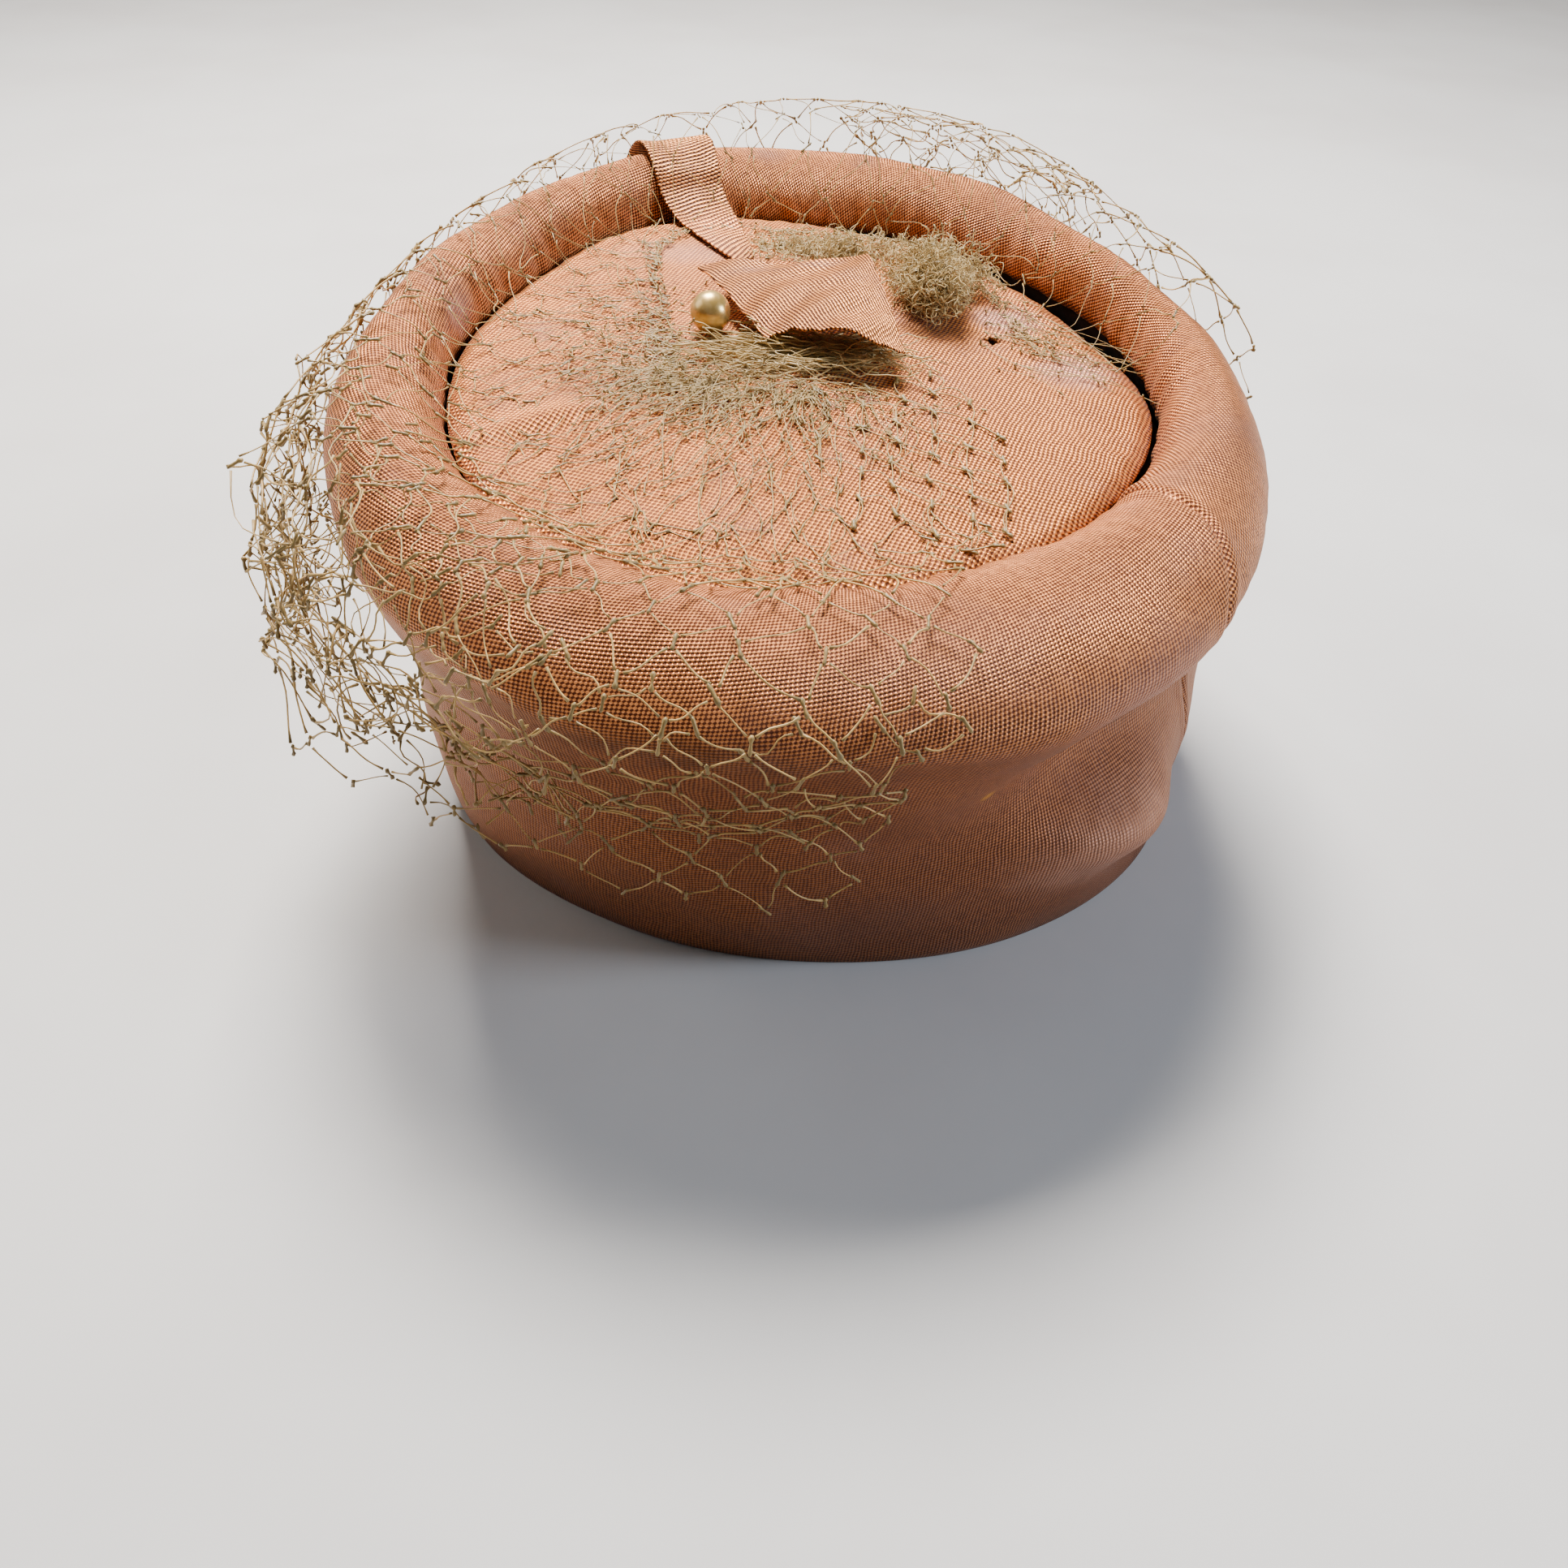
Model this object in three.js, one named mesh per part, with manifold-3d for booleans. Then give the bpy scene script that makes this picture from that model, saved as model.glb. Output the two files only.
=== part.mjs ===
// A pillbox hat in rose gold shot silk, with a padded roll round its top edge,
// a sunken top panel, a ribbon bow with a sewn bead, and a gathered net veil.
// Millimetres, +Z up, the rim on z = 0, the front towards -Y and the wearer's left towards +X.
import * as THREE from 'three';
import { mergeVertices } from 'three/addons/utils/BufferGeometryUtils.js';
import Module from 'manifold-3d';

const wasm = await Module();
wasm.setup();

// Sizes of the crown
const crownWidth = 188;
const crownDepth = 212;
const crownShiftSide = -3;
const crownShiftBack = 3;
const hatHeight = 102;
const crownSlopeSide = -0.051;
const crownSlopeBack = 0.094;
const rollHeight = 24;
const creaseDepth = 10.1;
const wallThickness = 2.5;

// Sizes of the rim
const rimWidth = 176;
const rimDepth = 174;
const rimShiftBack = 8;
const rimFold = 0.6;

// Sizes of the top panel
const tipThickness = 2;
const tipDome = 1.8;
const domeReach = 0.75;
const tearLength = 4.2;

// Sizes of the ribbon bow, its bead and the gathered net
const ribbonThickness = 0.9;
const strapWidth = 18;
const leafLength = 44;
const leafWidth = 38;
const leafRise = 6;
const beadDiameter = 8.2;
const gatherWidth = 46;
const gatherDepth = 22;
const gatherHeight = 3.4;
const tuftWidth = 19;
const tuftDepth = 30;
const tuftHeight = 13;
const bowPlace = { side: -2, back: 21 };

// Sizes of the veil
const veilThickness = 1;
const veilRise = 3.2;
const veilRight = 300;
const veilSweep = 294;
const veilColumns = 20;
const veilRows = 6;
const veilOpenShare = 0.8;

// Gap kept between pieces that touch
const seatGap = 0.3;

const rollRadius = rollHeight / 2;
const degrees = Math.PI / 180;

// Stations round the crown, 30 degrees apart from the right side and on through the back.
// outline and rim are shares of the half sizes, roll and waist of the roll's radius, gap of its height.
const stations = [
  { outline: 1.015, roll: 0.78, rim: 1.010, waist: -0.60, gap: 0.06 },
  { outline: 0.970, roll: 0.58, rim: 0.990, waist: -0.17, gap: 0.13 },
  { outline: 1.028, roll: 0.95, rim: 0.990, waist: 0.00, gap: 0.09 },
  { outline: 1.021, roll: 1.07, rim: 0.995, waist: 0.01, gap: 0.07 },
  { outline: 0.988, roll: 0.78, rim: 0.995, waist: 0.02, gap: 0.04 },
  { outline: 0.958, roll: 0.76, rim: 0.995, waist: 0.13, gap: 0.03 },
  { outline: 0.990, roll: 0.76, rim: 1.010, waist: 0.32, gap: 0.04 },
  { outline: 1.055, roll: 1.05, rim: 1.052, waist: -0.16, gap: 0.02 },
  { outline: 1.045, roll: 1.33, rim: 1.010, waist: -0.08, gap: 0.02 },
  { outline: 1.000, roll: 1.43, rim: 1.002, waist: 0.00, gap: 0.02 },
  { outline: 1.024, roll: 1.55, rim: 1.046, waist: 0.02, gap: 0.02 },
  { outline: 1.028, roll: 1.22, rim: 1.080, waist: 0.08, gap: 0.03 },
];

// Dents and bulges of the side wall. at and turn are degrees, height and tall shares of the hat's
// height, along a share of the crown's width, push a share of the roll's height, outwards positive.
const dents = [
  { at: 311, height: 0.56, along: 0.17, tall: 0.13, turn: 18, push: -0.21 },
  { at: 315, height: 0.26, along: 0.14, tall: 0.15, turn: 14, push: 0.17 },
  { at: 288, height: 0.38, along: 0.16, tall: 0.20, turn: 20, push: -0.07 },
  { at: 255, height: 0.52, along: 0.22, tall: 0.12, turn: -6, push: -0.07 },
  { at: 214, height: 0.50, along: 0.14, tall: 0.20, turn: 10, push: -0.09 },
  { at: 135, height: 0.48, along: 0.20, tall: 0.20, turn: -12, push: -0.10 },
  { at: 62, height: 0.45, along: 0.22, tall: 0.18, turn: 14, push: -0.09 },
];

// Soft hollows and puckers of the top panel. side, back and reach are shares of the crown's
// half width, push a share of the dome, upwards positive.
const puckers = [
  { side: -0.38, back: 0.22, reach: 0.20, push: -0.45 },
  { side: 0.10, back: -0.30, reach: 0.34, push: 0.40 },
  { side: 0.52, back: 0.18, reach: 0.22, push: -0.35 },
  { side: 0.30, back: 0.62, reach: 0.22, push: -0.40 },
  { side: -0.48, back: -0.35, reach: 0.24, push: -0.25 },
];

// The veil round the crown, 30 degrees apart like the stations. start is the share of the way
// from the bow to the crease, crest and stand are shares of the roll's height off the roll's top
// and its outside, hem is the hem's height as a share of the hat's, and hang its distance off the
// wall as a share of the roll's height.
const drape = [
  { start: 0.66, crest: 0.16, stand: 0.34, hem: 0.72, hang: 0.50 },
  { start: 0.70, crest: 0.28, stand: 0.50, hem: 0.66, hang: 0.60 },
  { start: 0.86, crest: 0.46, stand: 0.55, hem: 0.60, hang: 0.60 },
  { start: 0.78, crest: 0.44, stand: 0.42, hem: 0.58, hang: 0.50 },
  { start: 0.80, crest: 0.26, stand: 0.28, hem: 0.56, hang: 0.42 },
  { start: 0.50, crest: 0.10, stand: 0.12, hem: 0.54, hang: 0.45 },
  { start: 0.38, crest: 0.06, stand: 0.14, hem: 0.50, hang: 0.95 },
  { start: 0.34, crest: 0.07, stand: 0.50, hem: 0.50, hang: 1.15 },
  { start: 0.27, crest: 0.06, stand: 0.26, hem: 0.45, hang: 0.40 },
  { start: 0.24, crest: 0.05, stand: 0.08, hem: 0.31, hang: 0.12 },
  { start: 0.32, crest: 0.05, stand: 0.08, hem: 0.60, hang: 0.10 },
  { start: 0.50, crest: 0.08, stand: 0.12, hem: 0.60, hang: 0.16 },
];

// Value of one column of a table round the crown, smooth between its rows.
function roundTable(table, column, angle) {
  const rows = table.length;
  const place = THREE.MathUtils.euclideanModulo(angle / (2 * Math.PI), 1) * rows;
  const row = Math.floor(place) % rows;
  const share = place - Math.floor(place);
  const value = (step) => table[(row + step + rows) % rows][column];
  const [a, b, c, d] = [value(-1), value(0), value(1), value(2)];
  const slope = (c - a) * share;
  const bend = (2 * a - 5 * b + 4 * c - d) * share ** 2;
  const twist = (3 * b - a - 3 * c + d) * share ** 3;
  return (2 * b + slope + bend + twist) / 2;
}

// Height of the sloping crown above the rim, at a level given for the crown's middle.
function crownLevel(x, y, level) {
  return level + crownSlopeSide * x + crownSlopeBack * y;
}

// How far the dents push the wall out at an angle and a height.
function dentPush(angle, height) {
  let push = 0;
  for (const dent of dents) {
    let away = THREE.MathUtils.euclideanModulo(angle - dent.at * degrees, 2 * Math.PI);
    if (away > Math.PI) away -= 2 * Math.PI;
    const side = away * crownWidth / 2;
    const up = height - dent.height * hatHeight;
    const turn = dent.turn * degrees;
    const long = (side * Math.cos(turn) + up * Math.sin(turn)) / (dent.along * crownWidth);
    const tall = (up * Math.cos(turn) - side * Math.sin(turn)) / (dent.tall * hatHeight);
    push += dent.push * rollHeight * Math.exp(-(long ** 2) - tall ** 2);
  }
  return push;
}

// The turn of the roll's section where the side wall leaves it, and where dents start to reach it.
const wallLeaves = -20;
const dentsReach = 75;

// Point moved straight out from the crown's middle.
function movedOut(point, angle, distance) {
  point.x += distance * Math.cos(angle);
  point.y += distance * Math.sin(angle);
  return point;
}

// Point of the padded roll at a turn of its section: 0 faces out, 90 is the crest, 180 faces the
// panel. proud lifts it off the roll, and up overrules its height above the roll's middle.
function rollPoint(angle, turn, proud = 0, up = null) {
  const half = rollRadius * roundTable(stations, 'roll', angle);
  const outline = roundTable(stations, 'outline', angle);
  const inset = (half + proud) * Math.cos(turn * degrees) - half;
  const x = crownShiftSide + (crownWidth / 2 * outline + inset) * Math.cos(angle);
  const y = crownShiftBack + (crownDepth / 2 * outline + inset) * Math.sin(angle);
  const rise = up ?? (rollRadius + proud) * Math.sin(turn * degrees);
  const point = new THREE.Vector3(x, y, crownLevel(x, y, hatHeight - rollRadius + rise));
  const dented = THREE.MathUtils.smoothstep(dentsReach - turn, 0, dentsReach - wallLeaves);
  return movedOut(point, angle, dented * dentPush(angle, point.z));
}

// The roll's section without its dents, where the side wall leaves it and a little further round.
function wallTop(angle, further) {
  const point = rollPoint(angle, wallLeaves - further);
  return movedOut(point, angle, -dentPush(angle, point.z));
}

// Point of the side wall, from 0 where it leaves the roll to 1 at the rim, moved out by proud.
// It starts along the roll's own surface and bends towards the rim.
function wallPoint(angle, share, proud = 0) {
  const top = wallTop(angle, 0);
  const rim = roundTable(stations, 'rim', angle);
  const foot = new THREE.Vector3(
    rimWidth / 2 * rim * Math.cos(angle),
    rimShiftBack + rimDepth / 2 * rim * Math.sin(angle),
    0,
  );
  const down = foot.clone().sub(top);
  const leave = wallTop(angle, 2).sub(top).setLength(down.length());
  const point = top.clone();
  point.addScaledVector(leave, share * (1 - share) ** 2);
  point.addScaledVector(down, share ** 2 * (3 - 2 * share) - share ** 2 * (1 - share));
  const waist = roundTable(stations, 'waist', angle) * rollRadius * 4 * share * (1 - share);
  return movedOut(point, angle, proud - waist + dentPush(angle, point.z));
}

// A closed mesh from vertices and faces of three or more corners, seen from outside anticlockwise.
function closedGeometry(points, faces) {
  const positions = new Float32Array(points.flatMap((point) => [point.x, point.y, point.z]));
  const index = [];
  for (const face of faces) {
    for (let corner = 1; corner < face.length - 1; corner += 1) {
      index.push(face[0], face[corner], face[corner + 1]);
    }
  }
  const geometry = new THREE.BufferGeometry();
  geometry.setAttribute('position', new THREE.BufferAttribute(positions, 3));
  geometry.setIndex(index);
  return geometry;
}

// A solid swept round the crown, from a function that gives its closed section at an angle.
function ringGeometry(sectionAt, steps) {
  const points = [];
  const faces = [];
  let size = 0;
  for (let step = 0; step < steps; step += 1) {
    const section = sectionAt(2 * Math.PI * step / steps);
    size = section.length;
    points.push(...section);
  }
  for (let step = 0; step < steps; step += 1) {
    const here = step * size;
    const next = ((step + 1) % steps) * size;
    for (let k = 0; k < size; k += 1) {
      const after = (k + 1) % size;
      faces.push([here + k, next + k, next + after, here + after]);
    }
  }
  return closedGeometry(points, faces);
}

// A cloth sheet with a thickness, from a function that gives its middle surface over a grid.
function sheetGeometry(pointAt, alongSteps, acrossSteps, thickness) {
  const small = 0.01;
  const points = [];
  const faces = [];
  const columns = acrossSteps + 1;
  const layer = (alongSteps + 1) * columns;
  for (const face of [0.5, -0.5]) {
    for (let i = 0; i <= alongSteps; i += 1) {
      for (let j = 0; j <= acrossSteps; j += 1) {
        const u = i / alongSteps;
        const v = j / acrossSteps;
        const along = pointAt(Math.min(1, u + small), v).sub(pointAt(Math.max(0, u - small), v));
        const across = pointAt(u, Math.min(1, v + small)).sub(pointAt(u, Math.max(0, v - small)));
        const normal = along.cross(across).normalize();
        points.push(pointAt(u, v).addScaledVector(normal, face * thickness));
      }
    }
  }
  const at = (i, j, under) => i * columns + j + (under ? layer : 0);
  for (let i = 0; i < alongSteps; i += 1) {
    for (let j = 0; j < acrossSteps; j += 1) {
      faces.push([at(i, j), at(i + 1, j), at(i + 1, j + 1), at(i, j + 1)]);
      faces.push([at(i, j, 1), at(i, j + 1, 1), at(i + 1, j + 1, 1), at(i + 1, j, 1)]);
    }
  }
  for (let i = 0; i < alongSteps; i += 1) {
    faces.push([at(i, 0), at(i, 0, 1), at(i + 1, 0, 1), at(i + 1, 0)]);
    faces.push([at(i, acrossSteps), at(i + 1, acrossSteps), at(i + 1, acrossSteps, 1), at(i, acrossSteps, 1)]);
  }
  for (let j = 0; j < acrossSteps; j += 1) {
    faces.push([at(0, j), at(0, j + 1), at(0, j + 1, 1), at(0, j, 1)]);
    faces.push([at(alongSteps, j), at(alongSteps, j, 1), at(alongSteps, j + 1, 1), at(alongSteps, j + 1)]);
  }
  return closedGeometry(points, faces);
}

// A closed round mesh, from functions that give its rings and its two ends.
function roundedGeometry(ringAt, rings, sides, bottom, top) {
  const points = [bottom, top];
  const faces = [];
  for (let ring = 0; ring < rings; ring += 1) {
    for (let side = 0; side < sides; side += 1) {
      points.push(ringAt(ring, 2 * Math.PI * side / sides));
    }
  }
  const at = (ring, side) => 2 + ring * sides + side % sides;
  for (let side = 0; side < sides; side += 1) {
    faces.push([0, at(0, side + 1), at(0, side)]);
    faces.push([1, at(rings - 1, side), at(rings - 1, side + 1)]);
    for (let ring = 0; ring < rings - 1; ring += 1) {
      faces.push([at(ring, side), at(ring, side + 1), at(ring + 1, side + 1), at(ring + 1, side)]);
    }
  }
  return closedGeometry(points, faces);
}

// Side band: one wall from the rim up, over the padded roll and down its inside. The shares go
// down the wall from the roll, and the turns go round the roll to where the wall's inside starts.
const bandSteps = 76;
const outerShares = [0.975, 0.82, 0.66, 0.5, 0.34, 0.17];
const innerShares = [0.17, 0.42, 0.68];
const rollTurnStep = 18;
const rollTurnEnd = 285;

function bandSection(angle) {
  const section = [wallPoint(angle, 1, -wallThickness), wallPoint(angle, 1, -rimFold)];
  for (const share of outerShares) {
    section.push(wallPoint(angle, share));
  }
  for (let turn = wallLeaves; turn <= rollTurnEnd; turn += rollTurnStep) {
    section.push(rollPoint(angle, turn));
  }
  for (const share of innerShares) {
    section.push(wallPoint(angle, share, -wallThickness));
  }
  return section;
}

const bandGeometry = ringGeometry(bandSection, bandSteps);

// Tip: the sunken top panel, domed and puckered, with a small tear at its right.
function tipEdge(angle, share) {
  const gap = seatGap + roundTable(stations, 'gap', angle) * rollHeight;
  const edge = rollPoint(angle, 180, 0, rollRadius - creaseDepth);
  edge.x = crownShiftSide + (edge.x - crownShiftSide - gap * Math.cos(angle)) * share;
  edge.y = crownShiftBack + (edge.y - crownShiftBack - gap * Math.sin(angle)) * share;
  return edge;
}

function tipHeight(x, y) {
  const halfWidth = crownWidth / 2;
  const side = (x - crownShiftSide) / halfWidth;
  const back = (y - crownShiftBack) / halfWidth;
  let rise = Math.max(0, 1 - (side ** 2 + back ** 2) / domeReach);
  for (const pucker of puckers) {
    const away = ((side - pucker.side) ** 2 + (back - pucker.back) ** 2) / pucker.reach ** 2;
    rise += pucker.push * Math.exp(-away);
  }
  return crownLevel(x, y, hatHeight - creaseDepth + rise * tipDome);
}

function tipPoint(angle, share, drop) {
  const point = tipEdge(angle, share);
  point.z = tipHeight(point.x, point.y) - drop;
  return point;
}

// Ring shares of the panel's underside from the middle out, then of its top from the edge in.
const tipShares = [0.25, 0.5, 0.75, 1];
const tipSides = 52;

function tipRing(ring, angle) {
  const under = ring < tipShares.length;
  const place = under ? ring : 2 * tipShares.length - 1 - ring;
  return tipPoint(angle, tipShares[place], under ? tipThickness : 0);
}

function solidOf(geometry) {
  const bare = geometry.clone();
  bare.deleteAttribute('normal');
  bare.deleteAttribute('uv');
  const merged = mergeVertices(bare, 1e-4);
  return new wasm.Manifold(new wasm.Mesh({
    numProp: 3,
    vertProperties: new Float32Array(merged.attributes.position.array),
    triVerts: new Uint32Array(merged.index.array),
  }));
}

function geometryOf(solid) {
  const mesh = solid.getMesh();
  const geometry = new THREE.BufferGeometry();
  geometry.setAttribute('position', new THREE.BufferAttribute(mesh.vertProperties, 3));
  geometry.setIndex(new THREE.BufferAttribute(mesh.triVerts, 1));
  return geometry;
}

// The tear is a ragged six-sided hole, its corners shares of its length.
const tearPlace = { side: 0.42, back: 0.24 };
const tearCorners = [
  { side: -0.50, back: 0.10 },
  { side: -0.15, back: -0.12 },
  { side: 0.10, back: -0.38 },
  { side: 0.50, back: -0.10 },
  { side: 0.24, back: 0.22 },
  { side: -0.12, back: 0.18 },
];

function tipGeometry() {
  const bottom = new THREE.Vector3(crownShiftSide, crownShiftBack, 0);
  bottom.z = tipHeight(bottom.x, bottom.y) - tipThickness;
  const top = bottom.clone();
  top.z += tipThickness;
  const plate = roundedGeometry(tipRing, 2 * tipShares.length, tipSides, bottom, top);
  const outline = new THREE.Shape(
    tearCorners.map((corner) => new THREE.Vector2(corner.side * tearLength, corner.back * tearLength)),
  );
  const cutter = new THREE.ExtrudeGeometry(outline, { depth: rollHeight, bevelEnabled: false });
  const x = tearPlace.side * crownWidth / 2;
  const y = tearPlace.back * crownDepth / 2;
  cutter.translate(x, y, tipHeight(x, y) - rollHeight / 2);
  return geometryOf(solidOf(plate).subtract(solidOf(cutter)));
}

// Gathered net: a low pleated bunch under the bow, sewn to the panel.
const gatherSides = 36;
const gatherPleats = 12;
const gatherPleatDepth = 0.05;
const gatherRings = [
  { reach: 0.86, height: 0 },
  { reach: 1, height: 0.28 },
  { reach: 0.82, height: 0.72 },
  { reach: 0.45, height: 0.95 },
];

// A low lump on the panel: pleats fold its outside in and out, fully from pleatStart of its height.
const pleatStart = 1 / 3;

function mound(place, width, depth, height, rings, sides, pleats, pleatDepth) {
  const base = (x, y) => tipHeight(x, y) + seatGap;
  const ringAt = (ring, angle) => {
    const row = rings[ring];
    const pleat = 1 + pleatDepth * Math.cos(pleats * angle) * Math.min(1, row.height / pleatStart);
    const x = place.side + width / 2 * row.reach * pleat * Math.cos(angle);
    const y = place.back + depth / 2 * row.reach * pleat * Math.sin(angle);
    return new THREE.Vector3(x, y, base(x, y) + row.height * height);
  };
  const bottom = new THREE.Vector3(place.side, place.back, base(place.side, place.back));
  const top = bottom.clone();
  top.z += height;
  return roundedGeometry(ringAt, rings.length, sides, bottom, top);
}

// The bunch reaches a little further out to the left than the bow.
const gatherLeft = 2;
const gatherPlace = { side: bowPlace.side - gatherLeft, back: bowPlace.back - gatherDepth / 2 };
const gatherGeometry = mound(
  gatherPlace, gatherWidth, gatherDepth, gatherHeight,
  gatherRings, gatherSides, gatherPleats, gatherPleatDepth,
);

// Net tuft: the net's crumpled end, standing as a bushy lump beside the bow.
const tuftSides = 30;
const tuftLocks = 7;
const tuftLockDepth = 0.09;
const tuftRings = [
  { reach: 0.62, height: 0 },
  { reach: 0.92, height: 0.16 },
  { reach: 1, height: 0.42 },
  { reach: 0.88, height: 0.68 },
  { reach: 0.56, height: 0.90 },
];
// It stands behind the bunch's right end, tucked in towards the bow by this much.
const tuftTuck = 2.5;
const tuftPlace = {
  side: gatherPlace.side + gatherWidth / 2 + tuftWidth / 2 - tuftTuck,
  back: gatherPlace.back + gatherDepth / 2 + tuftDepth / 2 + tuftTuck,
};
const tuftGeometry = mound(
  tuftPlace, tuftWidth, tuftDepth, tuftHeight, tuftRings, tuftSides, tuftLocks, tuftLockDepth,
);

// Bead: one pearl sewn to the panel behind the left end of the gathered net. Its place is a share
// of its radius in from that end, and of the net's half depth back from its middle.
const beadInset = 0.8;
const beadBack = 0.5;
const beadRadius = beadDiameter / 2;
const beadSides = 16;
const beadRings = 10;

function beadGeometry() {
  const x = gatherPlace.side - gatherWidth / 2 + beadRadius * beadInset;
  const y = gatherPlace.back + gatherDepth / 2 * beadBack + beadRadius + seatGap;
  const centre = new THREE.Vector3(x, y, tipHeight(x, y) + beadRadius + seatGap);
  const ringAt = (ring, angle) => {
    const latitude = Math.PI * ((ring + 1) / beadRings - 0.5);
    return new THREE.Vector3(
      centre.x + beadRadius * Math.cos(latitude) * Math.cos(angle),
      centre.y + beadRadius * Math.cos(latitude) * Math.sin(angle),
      centre.z + beadRadius * Math.sin(latitude),
    );
  };
  const bottom = centre.clone();
  bottom.z -= beadRadius;
  const top = centre.clone();
  top.z += beadRadius;
  return roundedGeometry(ringAt, beadRings - 1, beadSides, bottom, top);
}

// Strap: the ribbon that comes over the roll from behind and ends on the panel.
// turn is the place on the roll's section, slide a share of the strap's width to the left,
// wide a share of it, and proud its height off the roll as a share of the roll's height.
const strapAngle = 112;
const strapStops = [
  { turn: -8, slide: 0.14, wide: 0.92, proud: 0.03 },
  { turn: 30, slide: 0.10, wide: 0.98, proud: 0.05 },
  { turn: 66, slide: 0.04, wide: 1, proud: 0.07 },
  { turn: 96, slide: 0, wide: 1, proud: 0.08 },
  { turn: 126, slide: 0, wide: 0.96, proud: 0.06 },
  { turn: 152, slide: -0.02, wide: 0.92, proud: 0.05 },
];
// The end that lies on the panel, measured from the crease towards the bow.
const strapEnd = [
  { reach: 0.30, slide: -0.08, wide: 0.84, lift: 0.05 },
  { reach: 0.95, slide: -0.10, wide: 0.62, lift: 0.03 },
  { reach: 1.65, slide: -0.12, wide: 0.30, lift: 0.02 },
];

const strapStepsAlong = 22;
const strapStepsAcross = 3;

function strapGeometry() {
  const angle = strapAngle * degrees;
  const side = new THREE.Vector3(-Math.sin(angle), Math.cos(angle), 0);
  const centres = strapStops.map((stop) => {
    const clear = seatGap + ribbonThickness / 2 + stop.proud * rollHeight;
    return rollPoint(angle, stop.turn, clear).addScaledVector(side, stop.slide * strapWidth);
  });
  const widths = strapStops.map((stop) => stop.wide * strapWidth);
  for (const stop of strapEnd) {
    const point = tipEdge(angle, 1);
    point.x -= stop.reach * strapWidth * Math.cos(angle);
    point.y -= stop.reach * strapWidth * Math.sin(angle);
    point.addScaledVector(side, stop.slide * strapWidth);
    const clear = seatGap + ribbonThickness / 2 + stop.lift * rollRadius;
    point.z = tipHeight(point.x, point.y) + clear;
    centres.push(point);
    widths.push(stop.wide * strapWidth);
  }
  const middle = new THREE.CatmullRomCurve3(centres);
  const wide = new THREE.SplineCurve(widths.map((width, stop) => new THREE.Vector2(stop, width)));
  const pointAt = (u, v) => middle.getPoint(u).addScaledVector(side, (0.5 - v) * wide.getPoint(u).y);
  return sheetGeometry(pointAt, strapStepsAlong, strapStepsAcross, ribbonThickness);
}

// Leaf: the bow's free ribbon tab, twisted and lifted off the gathered net.
// along, back and front are shares of the leaf's length and width from the bow's place,
// and the lifts and the arch between its edges are shares of its rise.
const leafRows = [
  { backAlong: -0.58, back: 0.50, frontAlong: -0.22, front: -0.34, backLift: 0.06, frontLift: -0.02 },
  { backAlong: -0.36, back: 0.52, frontAlong: -0.06, front: -0.38, backLift: 0.30, frontLift: 0.55 },
  { backAlong: -0.08, back: 0.48, frontAlong: 0.14, front: -0.48, backLift: 0.40, frontLift: 0.90 },
  { backAlong: 0.16, back: 0.50, frontAlong: 0.32, front: -0.50, backLift: 0.75, frontLift: 0.70 },
  { backAlong: 0.31, back: 0.50, frontAlong: 0.45, front: -0.51, backLift: 1.00, frontLift: 0.25 },
];

const leafArch = 0.18;
const leafStepsAlong = 12;
const leafStepsAcross = 6;

function leafGeometry() {
  const base = gatherHeight + 2 * seatGap + ribbonThickness / 2;
  const edge = (along, back, lift) => new THREE.CatmullRomCurve3(leafRows.map((row) => {
    const x = bowPlace.side + row[along] * leafLength;
    const y = bowPlace.back + row[back] * leafWidth;
    return new THREE.Vector3(x, y, tipHeight(x, y) + base + row[lift] * leafRise);
  }));
  const backEdge = edge('backAlong', 'back', 'backLift');
  const frontEdge = edge('frontAlong', 'front', 'frontLift');
  const pointAt = (u, v) => {
    const point = frontEdge.getPoint(u).lerp(backEdge.getPoint(u), v);
    point.z += leafArch * leafRise * Math.sin(Math.PI * v);
    return point;
  };
  return sheetGeometry(pointAt, leafStepsAlong, leafStepsAcross, ribbonThickness);
}

// Veil: a coarse six-sided net with its openings cut through, from the bow out over the roll.
// It leaves the panel at a share of the way to the crease, turns over the roll from its inside to
// its outside, and falls to the hem. Up to the crest it lies closer, by innerCrest.
const veilPanelEnd = 0.9;
const veilTurns = [140, 110, 80, 50, 20, -5];
const crestTurn = 110;
const innerCrest = 0.75;
const hemShares = [0.55, 1];

function veilPath(angle) {
  const shape = (column) => roundTable(drape, column, angle);
  const bow = new THREE.Vector3(bowPlace.side, bowPlace.back, 0);
  const crease = tipEdge(angle, 1);
  const path = [];
  const begin = shape('start');
  for (const share of [begin, (begin + veilPanelEnd) / 2, veilPanelEnd]) {
    const point = bow.clone().lerp(crease, share);
    point.z = tipHeight(point.x, point.y) + veilRise;
    path.push(point);
  }
  const least = seatGap + veilThickness;
  const crest = least + shape('crest') * rollHeight;
  const stand = least + shape('stand') * rollHeight;
  for (const turn of veilTurns) {
    const share = THREE.MathUtils.smoothstep(crestTurn - turn, 0, crestTurn);
    const lift = turn > crestTurn ? crest * innerCrest : crest + (stand - crest) * share;
    path.push(rollPoint(angle, turn, lift));
  }
  const top = rollPoint(angle, wallLeaves).z;
  const hemShare = 1 - shape('hem') * hatHeight / top;
  const hang = least + shape('hang') * rollHeight;
  for (const share of hemShares) {
    path.push(wallPoint(angle, hemShare * share, stand + (hang - stand) * share));
  }
  return new THREE.CatmullRomCurve3(path, false, 'centripetal');
}

function veilPoint(u, v) {
  const angle = (veilRight - veilSweep * u) * degrees;
  return veilPath(angle).getPointAt(THREE.MathUtils.clamp(v, 0, 1));
}

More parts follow.
